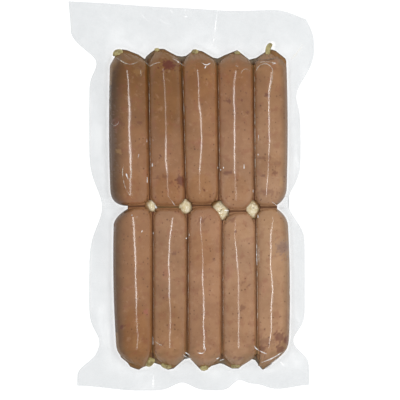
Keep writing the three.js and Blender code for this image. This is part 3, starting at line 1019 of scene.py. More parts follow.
@dataclass
class Casings:
    """The ten sausages as dense lofted meshes, with pleats towards their tails.

    Args:
        around: points in each section.
        crowding: how far those points draw towards the two sides.
        body_rows: sections of the straight middle.
        end_rows: sections of the blunt end; the tail has 12 more.
        tail_length: over which the tail's sections lie.
        pleat: depth of the pleats at the tail.
        lump: depth of the slow unevenness.
        spots: marks on the casing.
        dull: places with less gloss, each (X, Y, half length, strength).
        dull_width: their half width.
    """

    around: int = 112
    crowding: float = 0.3
    body_rows: int = 92
    end_rows: int = 22
    tail_length: float = 17.0
    pleat: float = 0.45
    lump: float = 0.03
    spots: Spots = field(default_factory=Spots)
    dull: tuple[tuple[float, float, float, float], ...] = (
        (-20, 78, 32, 0.75), (-18, 4, 13, 0.8), (7, 88, 16, 0.5), (35, 4, 12, 0.85), (34, 92, 8, 0.5),
        (-48, 8, 12, 0.55), (7, 3, 13, 0.9), (-49, 90, 12, 0.4), (62, 24, 9, 0.6),
        (-43, -110, 24, 0.65), (-17, -106, 26, 0.6), (8, -42, 14, 0.7), (37, -88, 30, 0.5),
        (34.5, -26, 8, 0.6), (63, -20, 8, 0.4),
    )
    dull_width: float = 9.0

    def stations(self, row: Row, one: Sausage) -> np.ndarray:
        """Y of each section, closer together at the two ends."""
        out = one.outward
        start = one.meets + out * GAP / 2
        turn = np.linspace(0, math.pi / 2, self.end_rows)[1:]
        dome = start + out * row.dome_length * (1 - np.cos(turn))
        dome = np.concatenate([[start + out * 0.012], dome])
        tail_start = one.tip - out * self.tail_length
        body = np.linspace(dome[-1], tail_start, self.body_rows)[1:-1]
        tail = np.linspace(tail_start, one.tip - out * 0.05, self.end_rows + 12)
        return np.concatenate([dome, body, tail])

    def build(self, row: Row, index: int, finish: bpy.types.Material) -> bpy.types.Object:
        """Builds, paints and settles one sausage.

        Args:
            row: the row that it lies in.
            index: its place from the left.
            finish: the casing's material.

        Returns:
            The piece.
        """
        one = row.sausages[index]
        y = self.stations(row, one)
        shape = row.profile(index, y)
        turn = np.linspace(0, math.tau, self.around, endpoint=False)
        turn = turn + self.crowding * np.sin(2 * turn)
        cos, sin = np.cos(turn), np.sin(turn)
        power = row.power(index, cos)
        reach = (np.abs(cos) ** power + np.abs(sin) ** power) ** (-1 / power)
        across, high = (cos * reach)[None, :], (sin * reach)[None, :]
        seed = 10 * (row is LOWER) + index
        near_tail = np.exp(-((np.maximum(shape.from_tip, 0) / 6.5) ** 2))[:, None]
        pleats = np.cos(9 * turn + seed) + np.cos(14 * turn + 2 * seed) + np.cos(5 * turn - seed)
        lumps = Ripple(60 + seed, 13, 1.6).at(across * 13, y[:, None])
        inward = self.pleat * near_tail * (3 + pleats)[None, :] / 2
        inward = inward + self.lump * (1 + lumps) * np.abs(high)
        ends = smooth(shape.from_start / 4)[:, None]
        shrink = 1 - inward * ends / np.maximum(shape.half, 3)[:, None]
        x = shape.centre[:, None] + shape.half[:, None] * across * shrink
        upper = high > 0
        tall = np.where(upper, shape.rise[:, None], shape.drop[:, None])
        z = WELD_HEIGHT + high * tall * shrink
        tilt = row.crest_tilt(index, y, shape)[:, None] * (x - shape.centre[:, None])
        crest = CREST * shape.rise[:, None] * across**2 * (1 - across**2)
        z = z + np.where(upper, tilt * (1 - across**2) ** 2 - crest, 0)
        z = np.maximum(z, REST_HEIGHT)
        along = np.broadcast_to(y[:, None], x.shape)
        caps = np.array([[shape.centre[0], y[0], WELD_HEIGHT], [shape.centre[-1], y[-1], WELD_HEIGHT]])
        paint = self.paint(row, one, shape, x, along, z)
        name = f"{row.name}_{index + 1}"
        piece = new_loft("casing_" + name, np.stack([x, along, z], axis=-1), finish, paint, caps)
        settle(piece, Slot.SAUSAGE, "sausage_" + name)
        return piece

    def paint(self, row: Row, one: Sausage, shape: Profile, x: np.ndarray, y: np.ndarray,
              z: np.ndarray) -> dict[str, np.ndarray]:
        """Values painted on one sausage's points."""
        rise = np.maximum(shape.rise, 1)[:, None]
        side = (x - shape.centre[:, None]) / np.maximum(shape.half, 1)[:, None]
        start, over, share = one.shade
        fray = 1 + 0.3 * Ripple(9, 5).at(x, y)
        depth = np.maximum(RIM.depth(row, x, y), 0)
        painted = {
            "tone": one.tone(x, y),
            # painted shade, darker low on the sides towards the crevices
            "flank": 1 - smooth((z - WELD_HEIGHT) / rise / 0.62),
            "outer": share * smooth((side - start) / over),
            "tail": np.where(np.abs(y + 10) > 96, np.exp(-((depth * fray / 8) ** 2)), 0),
        }
        for kind in Mark:
            painted[kind.value] = self.spots.paint(kind, x, y) * (z > WELD_HEIGHT)
        painted["dull"] = np.zeros(x.shape)
        for at_x, at_y, half_length, strength in self.dull:
            away = ((x - at_x) / self.dull_width) ** 2 + ((y - at_y) / half_length) ** 2
            painted["dull"] = np.maximum(painted["dull"], strength * smooth(1.7 - away))
        return painted


@dataclass(frozen=True)
class Knots:
    """Twisted casing ends beyond the tails, each a lumpy loft along its own short path.

    A path is a list of (X, Y, Z, half width, half height) points.
    """

    paths: tuple = (
        ((-59, 108.4, 14.2, 2, 1.5), (-57.4, 111, 15, 3, 2), (-52.8, 112, 15, 1.8, 1.3)),
        ((-28.2, 113, 14, 1.4, 1.2), (-26.3, 113.6, 14.4, 1.5, 1.2), (-24.6, 113.4, 14, 1, 0.9)),
        ((1, 110.8, 14.6, 2, 1.8), (3.4, 111.6, 15, 2.6, 1.9), (5.8, 111.4, 14.4, 1.6, 1.4)),
        ((34.4, 110.2, 14.6, 1.6, 1.4), (36.3, 111, 14.8, 1.9, 1.5), (38.4, 109.6, 14.4, 1.3, 1.1)),
        ((60.8, 106.6, 14.4, 2.8, 2.2), (59.9, 112.4, 13.8, 2.5, 2), (60.8, 116, 13.4, 2.2, 1.8),
         (63.6, 118, 13, 1.9, 1.5)),
        ((-30.2, -126.4, 14.6, 3, 2), (-32.2, -129, 15.2, 4.2, 2.6), (-36.2, -132, 14.6, 2.4, 1.6)),
        ((-22.8, -131, 14.4, 1.8, 1.4), (-18.8, -132.8, 14.8, 2.5, 1.8), (-15, -132.8, 14.4, 1.6, 1.2)),
        ((7.4, -133.4, 14.4, 1.9, 1.5), (10.3, -134, 14.8, 2.8, 2), (13.4, -132.8, 14.4, 1.8, 1.3)),
        ((31.4, -132.4, 14.4, 1.7, 1.2), (35, -132.6, 14.8, 2.1, 1.5), (38.4, -131.8, 14.4, 1.4, 1)),
    )
    around: int = 28
    steps: int = 16

    def along(self, path: tuple) -> np.ndarray:
        """Even points on a smooth curve through the path."""
        given = np.array(path)
        at = np.linspace(0, 1, len(given))
        fine = np.linspace(0, 1, self.steps)
        bend = np.polyfit(at, given, min(2, len(given) - 1))
        return np.stack([np.polyval(bend[:, k], fine) for k in range(5)], axis=1)

    def top(self, x: np.ndarray, y: np.ndarray) -> np.ndarray:
        """Height of the knots' upper sides, or far below where there are none."""
        height = np.full(x.shape, -1e3)
        for path in self.paths:
            for at_x, at_y, at_z, wide, tall in self.along(path):
                away = ((x - at_x) / wide) ** 2 + ((y - at_y) / wide) ** 2
                bulge = at_z + tall * np.sqrt(np.clip(1 - away, 0, None))
                height = np.where(away < 1, np.maximum(height, bulge), height)
        return height

    def build(self, finish: bpy.types.Material) -> None:
        """Builds and settles every knot."""
        for number, path in enumerate(self.paths):
            curve = self.along(path)
            turn = np.linspace(0, math.tau, self.around, endpoint=False)
            share = np.linspace(0, 1, self.steps)
            lean = np.gradient(curve[:, :2], axis=0)
            lean /= np.linalg.norm(lean, axis=1)[:, None]
            round_end = np.sqrt(np.clip(1 - np.clip((share - 0.78) / 0.22, 0, 1) ** 2, 0, 1))
            twist = turn[None, :] * 5 + share[:, None] * 5 + number
            pleat = 1 - 0.09 * (1 + np.cos(twist)) - 0.05 * (1 + np.cos(8 * turn + 2 * number))
            size = (0.08 + 0.92 * round_end)[:, None] * pleat
            aside = curve[:, 3, None] * np.cos(turn) * size
            x = curve[:, 0, None] + aside * -lean[:, 1, None]
            y = curve[:, 1, None] + aside * lean[:, 0, None]
            z = curve[:, 2, None] + curve[:, 4, None] * np.sin(turn) * size
            # Painted shade mask: the twists' hollows and the lower half of each knot.
            groove = np.clip(0.5 - 0.5 * np.cos(twist), 0, 1) ** 3
            low = np.clip(-np.sin(turn), 0, 1)[None, :]
            flank = np.broadcast_to(np.clip(0.5 * (1 - groove) * 0.4 + low, 0, 1), x.shape)
            grid = np.stack([x, y, z], axis=-1)
            settle(new_loft(f"knot_{number + 1}", grid, finish, {"flank": flank}), Slot.SAUSAGE)


@dataclass(frozen=True)
class FlapFinish:
    """Crumpled casing and juice between the tails: olive brown, darker at its rim."""

    middle: tuple[float, float, float] = linear(122, 90, 56)
    web: tuple[float, float, float] = linear(112, 100, 84)
    # core: the dark line along each crevice, partly juice and partly painted shade.
    core: tuple[float, float, float] = linear(66, 40, 28)
    rim: tuple[float, float, float] = linear(70, 56, 40)
    speck: tuple[float, float, float] = linear(76, 50, 34)

    def make(self, effects: Effects) -> bpy.types.Material:
        """Builds the material with the shared groups."""
        material, make, shader = new_material("flap")
        values = {"Mottle Scale": 150.0, "Speck Scale": 230.0}
        specks = effects.place(make, effects.specks, values).outputs
        mottle = make.mix(specks["Mottle"], (0.82, 0.80, 0.78), (1.12, 1.12, 1.10))
        colour = make.mix(make.attribute("tail"), make.tint("tone"), self.middle)
        colour = make.mix(make.attribute("web"), colour, self.web)
        colour = make.mix(1.0, colour, mottle, "MULTIPLY")
        colour = make.mix(make.attribute("core"), colour, self.core)
        colour = make.mix(make.attribute("rim"), colour, self.rim)
        dark = make.sum_of("MULTIPLY", specks["Specks"], 0.4)
        colour = make.mix(dark, colour, self.speck)
        make.feed(shader.inputs["Base Color"], colour)
        make.feed(shader.inputs["Roughness"], make.between(specks["Mottle"], 0, 1, 0.32, 0.5))
        make.feed(shader.inputs["Normal"], make.bump(specks["Relief"], 0.6, 0.0006))
        shader.inputs["Specular IOR Level"].default_value = 0.2
        return material


@dataclass
class Flaps:
    """The casing flaps that fill the space between the tails, out to the rim.

    Args:
        relief: the films' heights.
        across: between columns of points.
        rows: of points from the sausages to the rim.
        under_film: clearance below the front film and above the back one.
    """

    relief: "Relief"
    across: float = 0.55
    rows: int = 30
    under_film: float = 0.24

    def build(self, front: np.ndarray, back: np.ndarray, finish: bpy.types.Material) -> None:
        """Builds and settles one closed flap for each end of the pack.

        Args:
            front: heights of the front film.
            back: heights of the back film.
            finish: the flaps' material.
        """
        for row, start in ((UPPER, RIM.upper_from), (LOWER, RIM.lower_from)):
            at = np.array(RIM.upper if row is UPPER else RIM.lower)
            columns = int((at[-1, 0] - at[0, 0]) / self.across)
            x = np.linspace(at[0, 0] + 0.2, at[-1, 0] - 0.2, columns)[:, None]
            share = np.linspace(0, 1, self.rows)[None, :]
            y = start + (RIM.edge(row, x) - start) * share
            x = np.broadcast_to(x, y.shape)
            low = self.relief.sample(back, x, y) + self.under_film
            plane = self.relief.outline.mid_plane(x, y)
            crumple = 0.5 * Ripple(31, 5).at(x, y) * smooth(share * 2)
            top = np.maximum(RIM.top(plane, x, y) + crumple, plane + 0.05)
            top = np.minimum(top, self.relief.sample(front, x, y) - self.under_film)
            top = np.maximum(top, plane + 0.02)
            low = np.maximum(np.minimum(low, plane - 0.05), plane - 3)
            x = np.concatenate([x, x[:, ::-1]], axis=1)
            y = np.concatenate([y, y[:, ::-1]], axis=1)
            z = np.concatenate([top, low[:, ::-1]], axis=1)
            depth = RIM.depth(row, x, y)
            saddle = np.full(x.shape, 99.0)
            for index in range(1, 5):
                saddle = np.minimum(saddle, np.abs(x - row.crevice(index, y)))
            paint = {
                "tone": row.tone(x, y),
                "tail": 0.8 * np.exp(-((depth / 8) ** 2)),
                "rim": 0.8 * (1 - smooth(depth / 1.5)),
                "web": 0.9 * np.exp(-((saddle / 4.5) ** 2)) * (1 - smooth((depth - 2.5) / 3)),
                # the dark line along each crevice, partly juice and partly painted shade
                "core": 0.9 * np.exp(-((saddle / 0.55) ** 2)) * smooth((depth - 1.5) / 3),
            }
            grid = np.stack([x, y, z], axis=-1)
            settle(new_loft(f"flap_{row.name}", grid, finish, paint), Slot.SAUSAGE)


@dataclass(frozen=True)
class SeamFinish:
    """Casings pressed together: their own colour, with a narrow dark line between them, partly juice and
    partly painted shade of the crevice.
    """

    core: tuple[float, float, float] = linear(92, 54, 38)
    olive: tuple[float, float, float] = linear(104, 84, 54)

    def make(self, effects: Effects) -> bpy.types.Material:
        """Builds the material with the shared groups."""
        material, make, shader = new_material("juice_and_shade_seam")
        specks = effects.place(make, effects.specks, {"Mottle Scale": 120.0}).outputs
        shade = make.mix(specks["Mottle"], (0.8, 0.78, 0.76), (1.05, 1.05, 1.05))
        colour = make.mix(1.0, make.tint("tone"), shade, "MULTIPLY")
        # Painted shade: the dark core line along the crevice, partly juice.
        dark = make.mix(make.attribute("olive"), self.core, self.olive)
        make.feed(shader.inputs["Base Color"], make.mix(make.attribute("core"), colour, dark))
        make.feed(shader.inputs["Roughness"], make.between(specks["Mottle"], 0, 1, 0.35, 0.6))
        make.feed(shader.inputs["Normal"], make.bump(specks["Relief"], 0.4, 0.0004))
        shader.inputs["Specular IOR Level"].default_value = 0.1
        return material


@dataclass(frozen=True)
class Seams:
    """The pressed sides of neighbouring sausages, closed up to a thin groove.

    Args:
        height: of the seam's top above the weld's plane.
        dip: depth of its groove.
        step: between its sections.
        reach: how far to each side a sausage is looked for.
        open: how far each row's seams start from the line where the rows meet.
        crown: points across its top: share of its half width, of the dip, and darkness, which is painted
            shade of the crevice and partly juice.
        levels: shares of the height down each side.
    """

    height: float = 7.8
    dip: float = 1.0
    step: float = 1.5
    reach: float = 4.0
    open: tuple[tuple[float, ...], ...] = ((5.0, 5.0, 3.7, 5.4), (3.6, 5.0, 7.2, 6.2))
    crown: tuple[tuple[float, float, float], ...] = (
        (1.0, 0.0, 0.05), (0.5, 0.1, 0.15), (0.26, 0.55, 0.8), (0.0, 1.0, 1.0),
        (-0.26, 0.55, 0.8), (-0.5, 0.1, 0.15), (-1.0, 0.0, 0.05),
    )
    levels: tuple[float, ...] = (0.75, 0.4, 0.0, -0.4, -0.75, -1.0)

    def span(self, row: Row, index: int) -> tuple[float, float]:
        """Y of both ends of the seam on the left of a sausage."""
        out = row.sausages[0].outward
        pair = row.sausages[index - 1], row.sausages[index]
        start = (max(one.meets * out for one in pair) + self.open[row is LOWER][index - 1]) * out
        return start, min(abs(one.tip) for one in pair) * out - out * 9

    def middle_span(self, index: int) -> tuple[float, float]:
        """X of both ends of the seam where two rows' sausages meet."""
        spot = np.array(UPPER.sausages[index].meets)
        cuts = [max(row.sausages[index].cuts[k] for row in ROWS) for k in (0, 1)]
        cuts = [cuts[0] * (0.95 if index == 0 else 0.6), cuts[1] * (0.9 if index == 4 else 0.6)]
        left = max(float(row.crevice(index, spot)) for row in ROWS)
        right = min(float(row.crevice(index + 1, spot)) for row in ROWS)
        return left + 2.4 + cuts[0], right - 2.4 - cuts[1]

    def top(self, x: np.ndarray, y: np.ndarray) -> np.ndarray:
        """Height of the seams' upper sides, or far below where there are none."""
        found = np.full(x.shape, -1e3)
        for row in ROWS:
            for index in range(1, 5):
                start, end = sorted(self.span(row, index))
                aside = np.abs(x - row.crevice(index, y))
                inside = (aside < 2.4) & (y > start) & (y < end)
                found = np.where(inside, self.grooved(aside), found)
        for index in range(5):
            left, right = self.middle_span(index)
            aside = np.abs(y - UPPER.sausages[index].meets)
            inside = (aside < 2.4) & (x > left) & (x < right)
            found = np.where(inside, np.maximum(found, self.grooved(aside)), found)
        return found

    def grooved(self, aside: np.ndarray) -> np.ndarray:
        """Height of a seam's top at each distance from its middle line."""
        return WELD_HEIGHT + self.height - self.dip * np.exp(-((aside / 0.5) ** 2))

    def sides(self, tops: tuple, x: np.ndarray, y: np.ndarray, upright: bool) -> list[np.ndarray]:
        """How far a seam's top reaches to each side of a line before it meets a sausage.

        Args:
            tops: the two sausages, each (row, index), in the order of the sides.
            x: X along the line.
            y: Y along the line.
            upright: whether the line runs along Y.

        Returns:
            The two distances.
        """
        away = np.linspace(0, self.reach, 161)[:, None]
        found = []
        for (row, index), sign in zip(tops, (-1, 1)):
            at_x = x + sign * away if upright else x + 0 * away
            at_y = y + 0 * away if upright else y + sign * away
            meat = row.top(index, at_x, at_y) > WELD_HEIGHT + self.height
            first = np.where(meat.any(0), meat.argmax(0), len(away) - 1)
            found.append(np.maximum(away[first, 0], 0.15))
        return found

    def strip(self, x: np.ndarray, y: np.ndarray, gaps: list[np.ndarray],
              upright: bool) -> tuple[np.ndarray, np.ndarray]:
        """The rings of one seam.

        Returns:
            Their points, and how dark each is.
        """
        across, down, dark = np.array(self.crown).T
        wide = np.where(across > 0, gaps[1][:, None], gaps[0][:, None])
        aside = [across * wide]
        tall = [np.broadcast_to(self.height - self.dip * down, aside[0].shape)]
        shade = [np.broadcast_to(dark, aside[0].shape)]
        levels = np.array(self.levels)
        for gap, sign, order in ((gaps[0], -1, 1), (gaps[1], 1, -1)):
            narrow = np.abs(levels[::order]) ** PRESSED_POWER
            aside.append(sign * (0.15 + (gap[:, None] - 0.15) * narrow))
            tall.append(np.broadcast_to(self.height * levels[::order], aside[-1].shape))
            shade.append(np.ones(aside[-1].shape))
        aside, tall, shade = (np.concatenate(part, axis=1) for part in (aside, tall, shade))
        at_x = x[:, None] + (aside if upright else 0 * aside)
        at_y = y[:, None] + (0 * aside if upright else aside)
        return np.stack([at_x, at_y, WELD_HEIGHT + tall], axis=-1), shade

    def build(self, finish: bpy.types.Material) -> None:
        """Builds and settles the seams of each row and the line where the rows meet."""
        for row in ROWS:
            for index in range(1, 5):
                start, end = self.span(row, index)
                y = np.arange(start, end, math.copysign(self.step, end - start))
                x = row.crevice(index, y)
                gaps = self.sides(((row, index - 1), (row, index)), x, y, True)
                grid, shade = self.strip(x, y, gaps, True)
                olive = smooth((np.abs(grid[..., 1] + 10) - 92) / 14)
                self.place(f"seam_{row.name}_{index}", row, grid, shade, olive, finish)
        for index in range(5):
            x = np.arange(*self.middle_span(index), self.step)
            y = np.full(len(x), UPPER.sausages[index].meets)
            gaps = self.sides(((LOWER, index), (UPPER, index)), x, y, False)
            grid, shade = self.strip(x, y, gaps, False)
            olive = np.full(shade.shape, 0.85 if index == 1 else 0.2)
            self.place(f"seam_middle_{index + 1}", UPPER, grid, shade, olive, finish)

    def place(self, name: str, row: Row, grid: np.ndarray, shade: np.ndarray, olive: np.ndarray,
              finish: bpy.types.Material) -> None:
        """Makes one seam's piece, in the colours of its row."""
        paint = {"tone": row.tone(grid[..., 0], grid[..., 1]), "core": shade, "olive": olive}
        settle(new_loft(name, grid, finish, paint), Slot.JELLY)


@dataclass(frozen=True)
class Jelly:
    """Congealed juice in the four gaps, shaped like diamonds with hollow sides.

    Args:
        radius: how far a lump may reach.
        crown: height of its top.
        base: height of its underside.
        bite: how far it reaches under the casings beside it.
        pale: of each lump, the pale part's offset from the gap's middle and its half sizes.
    """

    radius: float = 8.0
    crown: float = 19.0
    base: float = 7.0
    bite: float = 1.3
    pale: tuple[tuple[float, float, float, float], ...] = (
        (0.9, 1.2, 5.2, 6.6), (-0.8, -0.8, 6.6, 8.4), (-0.2, -2.4, 10, 11), (-2.2, 0, 6.4, 9.6),
    )

    def centres(self) -> list[tuple[float, float]]:
        """The middle of each lump's pale part."""
        found = []
        for k, (aside, along, _, _) in enumerate(self.pale, 1):
            y = (UPPER.sausages[k - 1].meets + UPPER.sausages[k].meets) / 2
            x = (UPPER.crevice(k, np.array(y)) + LOWER.crevice(k, np.array(y))) / 2
            found.append((float(x) + aside, y + along))
        return found

    def height(self, number: int, x: np.ndarray, y: np.ndarray) -> np.ndarray:
        """Upper side of one lump at each point."""
        at_x, at_y = self.centres()[number]
        away = np.hypot(x - at_x, (y - at_y) * 0.85)
        return self.crown - 0.03 * away**2 + 0.25 * Ripple(80 + number, 6).at(x, y)

    def top(self, x: np.ndarray, y: np.ndarray) -> np.ndarray:
        """Height of the lumps' upper sides, or far below where there are none."""
        height = np.full(x.shape, -1e3)
        for number, (at_x, at_y) in enumerate(self.centres()):
            inside = np.hypot(x - at_x, y - at_y) < self.radius
            height = np.where(inside, self.height(number, x, y), height)
        return height

    def build(self, finish: bpy.types.Material) -> None:
        """Builds and settles the four lumps, each closed and reaching a little under the casings beside it.
        """
        turn = np.linspace(0, math.tau, 72, endpoint=False)
        for number, (at_x, at_y) in enumerate(self.centres()):
            reach = self.clear_reach(at_x, at_y, turn)
            share = np.linspace(0.04, 1, 15)[:, None]
            x = at_x + share * reach * np.cos(turn)
            y = at_y + share * reach * np.sin(turn)
            top = self.height(number, x, y) - 0.9 * smooth((share - 0.75) / 0.25)
            drop = np.linspace(0.15, 1, 6)[:, None]
            inset = 1 - 0.25 * smooth(drop)
            side_z = top[-1] + (self.base - top[-1]) * drop
            x = np.concatenate([x, at_x + inset * reach * np.cos(turn)])
            y = np.concatenate([y, at_y + inset * reach * np.sin(turn)])
            z = np.concatenate([top, side_z])
            _, _, wide, long = self.pale[number]
            away = np.abs((x - at_x) / wide) ** 1.1 + np.abs((y - at_y) / long) ** 1.1
            away = away + 0.1 * Ripple(90, 3).at(x, y)
            rim = np.maximum(smooth((away - 0.55) / 0.4), (z < self.crown - 3.4) * 1.0)
            caps = np.array([[at_x, at_y, top[0].mean()], [at_x, at_y, self.base]])
            grid = np.stack([x, y, z], axis=-1)
            piece = new_loft(f"juice_{number + 1}", grid, finish, {"rim": rim}, caps)
            settle(piece, Slot.JELLY, f"jelly_{number + 1}")

    def clear_reach(self, at_x: float, at_y: float, turn: np.ndarray) -> np.ndarray:
        """How far each ray from a lump's middle goes before it meets a sausage at the crown."""
        far = np.linspace(0.3, self.radius, 60)
        x = at_x + far[:, None] * np.cos(turn)
        y = at_y + far[:, None] * np.sin(turn)
        meat = np.full(x.shape, -1e3)
        for row in ROWS:
            for index in range(5):
                meat = np.maximum(meat, row.top(index, x, y))
        blocked = meat > self.crown - 0.4
        first = np.where(blocked.any(0), blocked.argmax(0), len(far) - 1)
        reach = far[first] + self.bite
        return (np.roll(reach, 1) + 2 * reach + np.roll(reach, -1)) / 4


@dataclass
class Relief:
    """Heights of the films on an even grid, drawn tight over what they hold.

    Args:
        outline: of the pouch.
        knots: the casing ends under the front film.
        jelly: the juice under it.
        seams: the closed crevices under it.
        step: between grid points.
        flap_clearance: of the front film above the flaps.
    """

    outline: Outline
    knots: Knots
    jelly: Jelly
    seams: Seams
    step: float = 0.5
    flap_clearance: float = 0.24

    def __post_init__(self) -> None:
        """Lays out the grid."""
        self.xs = np.arange(-100, 100.01, self.step)
        self.ys = np.arange(-158, 158.01, self.step)
        self.x, self.y = np.meshgrid(self.xs, self.ys)
        self.plane = self.outline.mid_plane(self.x, self.y)

    def swell(self, z: np.ndarray, radius: float) -> np.ndarray:
        """The height of a ball's top as its middle follows the surface."""
        reach = int(radius / self.step)
        rows, columns = z.shape
        wide = np.pad(z, reach, mode="edge")
        grown = np.full_like(z, -1e9)
        for down in range(-reach, reach + 1):
            for across in range(-reach, reach + 1):
                away = (down**2 + across**2) * self.step**2
                if away > radius**2:
                    continue
                part = wide[reach + down: reach + down + rows, reach + across: reach + across + columns]
                np.maximum(grown, part + math.sqrt(radius**2 - away), out=grown)
        return grown

    def drawn(self, z: np.ndarray, radius: float) -> np.ndarray:
        """The surface with no hollow tighter than the radius."""
        return -self.swell(-self.swell(z, radius), radius)

    def soften(self, z: np.ndarray, passes: int) -> np.ndarray:
        """The surface evened out."""
        for _ in range(passes):
            z = (z + np.roll(z, 1, 0) + np.roll(z, -1, 0) + np.roll(z, 1, 1) + np.roll(z, -1, 1)) / 5
        return z

    def meat(self) -> np.ndarray:
        """Height of the upper side of everything in the pouch."""
        top = np.maximum(self.knots.top(self.x, self.y), self.jelly.top(self.x, self.y))
        top = np.maximum(top, self.seams.top(self.x, self.y))
        for row in ROWS:
            for index in range(5):
                top = np.maximum(top, row.top(index, self.x, self.y))
        return top

    def front(self) -> np.ndarray:
        """Height of the front film."""
        held = np.maximum(self.meat() + FILM_CLEARANCE, self.plane + 0.1)
        held = np.maximum(held, RIM.top(self.plane, self.x, self.y) + self.flap_clearance)
        tight = self.drawn(held, 0.8)
        loose = self.drawn(held, 6.0)
        middle = (self.outline.block_top + self.outline.block_bottom) / 2
        half = (self.outline.block_top - self.outline.block_bottom) / 2
        end = smooth((np.abs(self.y - middle) - (half - 15)) / 9)
        side = smooth((self.x - self.outline.block_right + 9) / 6)
        side = np.maximum(side, smooth((self.outline.block_left + 9 - self.x) / 6))
        ease = np.maximum(end * 0.72, side * 0.9)
        z = tight * (1 - ease) + loose * ease
        z = self.soften(z, 2)
        share, _ = self.outline.outward(self.x, self.y)
        free = smooth(share * 3) * (1 - share**4)
        z = z + free * (0.16 * Ripple(3, 30).at(self.x, self.y) + 0.03 * Ripple(4, 9).at(self.x, self.y))
        tightness = 0.004 * Ripple(5, 7, 2.6).at(self.x, self.y) + 0.02 * Ripple(6, 19, 2).at(self.x, self.y)
        return np.maximum(z + tightness * (1 - free), self.plane + 0.02 * (1 - share))

    def back(self) -> np.ndarray:
        """Height of the back film."""
        low = np.full(self.x.shape, 1e3)
        for row in ROWS:
            for index in range(5):
                low = np.minimum(low, row.under(index, self.x, self.y))
        held = np.minimum(low - 0.14, self.plane - 0.1)
        z = -self.drawn(-held, 5.0)
        z = self.soften(z, 3)
        share, _ = self.outline.outward(self.x, self.y)
        free = smooth(share * 3) * (1 - share**4)
        z = z - free * 0.3 * (1 + Ripple(3, 26).at(self.x, self.y))
        return np.minimum(np.maximum(z, 0.03), self.plane - 0.02 * (1 - share))

    def sample(self, z: np.ndarray, x: np.ndarray, y: np.ndarray) -> np.ndarray:
        """Height between the grid's points."""
        column = np.clip((x - self.xs[0]) / self.step, 0, len(self.xs) - 1.001)
        line = np.clip((y - self.ys[0]) / self.step, 0, len(self.ys) - 1.001)
        i, j = line.astype(int), column.astype(int)
        u, v = column - j, line - i
        lower = z[i, j] * (1 - u) + z[i, j + 1] * u
        upper = z[i + 1, j] * (1 - u) + z[i + 1, j + 1] * u
        return lower * (1 - v) + upper * v


@dataclass
class Films:
    """The two films of the pouch, each one sheet from edge to edge.

    Args:
        relief: their heights.
        across: columns over the left skirt, the block and the right skirt.
        along: rows over the bottom skirt, the block and the top skirt.
        rounds: passes that fit the sheet to all four edges.
    """

    relief: Relief
    across: tuple[int, int, int] = (22, 176, 18)
    along: tuple[int, int, int] = (20, 268, 32)
    rounds: int = 8

    def lines(self, counts: tuple[int, int, int]) -> tuple[np.ndarray, np.ndarray]:
        """Place of each line: which zone it is in and how far through it."""
        first, middle, last = counts
        zone = np.concatenate([np.zeros(first), np.ones(middle), np.full(last + 1, 2)])
        share = np.concatenate([
            np.arange(first) / first, np.arange(middle) / middle, np.arange(last + 1) / last
        ])
        return zone, share

    def place(self, counts: tuple[int, int, int], low: np.ndarray, near: float, far: float,
              high: np.ndarray) -> np.ndarray:
        """Position of each line between the outline's two sides."""
        zone, share = self.lines(counts)
        before = low + (near - low) * share
        within = near + (far - near) * share
        beyond = far + (high - far) * share
        return np.where(zone == 0, before, np.where(zone == 1, within, beyond))

    def sheet(self, scale: float) -> tuple[np.ndarray, np.ndarray]:
        """X and Y of the sheet's points, fitted to the outline."""
        shape = self.relief.outline
        across = tuple(max(6, round(n * scale)) for n in self.across)
        along = tuple(max(6, round(n * scale)) for n in self.along)
        rows, columns = sum(along) + 1, sum(across) + 1
        x = np.zeros((rows, columns))
        y = np.zeros((rows, columns))
        for _ in range(self.rounds):
            x = self.place(across, shape.left.at(y), shape.block_left, shape.block_right,
                           shape.right.at(y))
            y = self.place(along, shape.bottom.at(x).T, shape.block_bottom, shape.block_top,
                           shape.top.at(x).T).T
        return x, y

    def paint(self, x: np.ndarray, y: np.ndarray, held: np.ndarray) -> dict[str, np.ndarray]:
        """Where the film clings, where a pale halo is painted beside the meat by showing less of the film,
        and where it is milky.
        """
        share, width = self.relief.outline.outward(x, y)
        grip = smooth((held - self.relief.plane + 1.5) / 2.5)
        cling = self.relief.sample(grip, x, y)
        halo = self.relief.sample(self.relief.soften(grip, 18), x, y)
        rim = smooth((share - 0.93) / 0.07) * 0.04
        near = 0.2 * smooth(1.3 - share * width / 9)
        milky = 0.02 * smooth(Ripple(22, 14).at(x, y) * 1.4) * (share > 0)
        return {
            "cling": cling.ravel(),
            # painted pale halo beside the meat, which also lifts the shade there
            "thin": (np.clip(np.maximum(halo * 2, near), 0, 1) * (1 - cling)).ravel(),
            "haze": np.clip(rim + milky, 0, 1).ravel(),
        }

    def build(self, finish: bpy.types.Material,
              behind: bpy.types.Material) -> tuple[np.ndarray, np.ndarray]:
        """Builds and settles both films.

        Args:
            finish: the front film's material.
            behind: the back film's.

        Returns:
            The heights of the front and the back film on the relief's grid.
        """
        flaps = RIM.top(self.relief.plane, self.relief.x, self.relief.y)
        held = np.maximum(self.relief.meat(), flaps)
        front = self.relief.front()
        back = self.relief.back()
        shape = self.relief.outline
        for name, heights, material, scale, nodes in (
            ("film_front", front, finish, 1.0, ("pouch",)),
            ("film_back", back, behind, 0.55, ()),
        ):
            x, y = self.sheet(scale)
            z = self.relief.sample(heights, x, y)
            share, _ = shape.outward(x, y)
            edge = smooth((share - 0.9) / 0.1)
            z = z * (1 - edge) + shape.mid_plane(x, y) * edge
            points = np.stack([x, y, z], axis=-1).reshape(-1, 3)
            faces = grid_faces(*x.shape)
            if name == "film_back":
                faces = faces[:, ::-1]
            paint = self.paint(x, y, held)
            piece = new_piece(name, points, faces.tolist(), material, paint)
            settle(piece, Slot.FILM, *nodes)
        return front, back


@dataclass(frozen=True)
class Crease:
    """One fold line: its kind, its half width, how much it shows and its (X, Y) points."""

    kind: Fold
    half: float
    show: float
    points: tuple[tuple[float, float], ...]


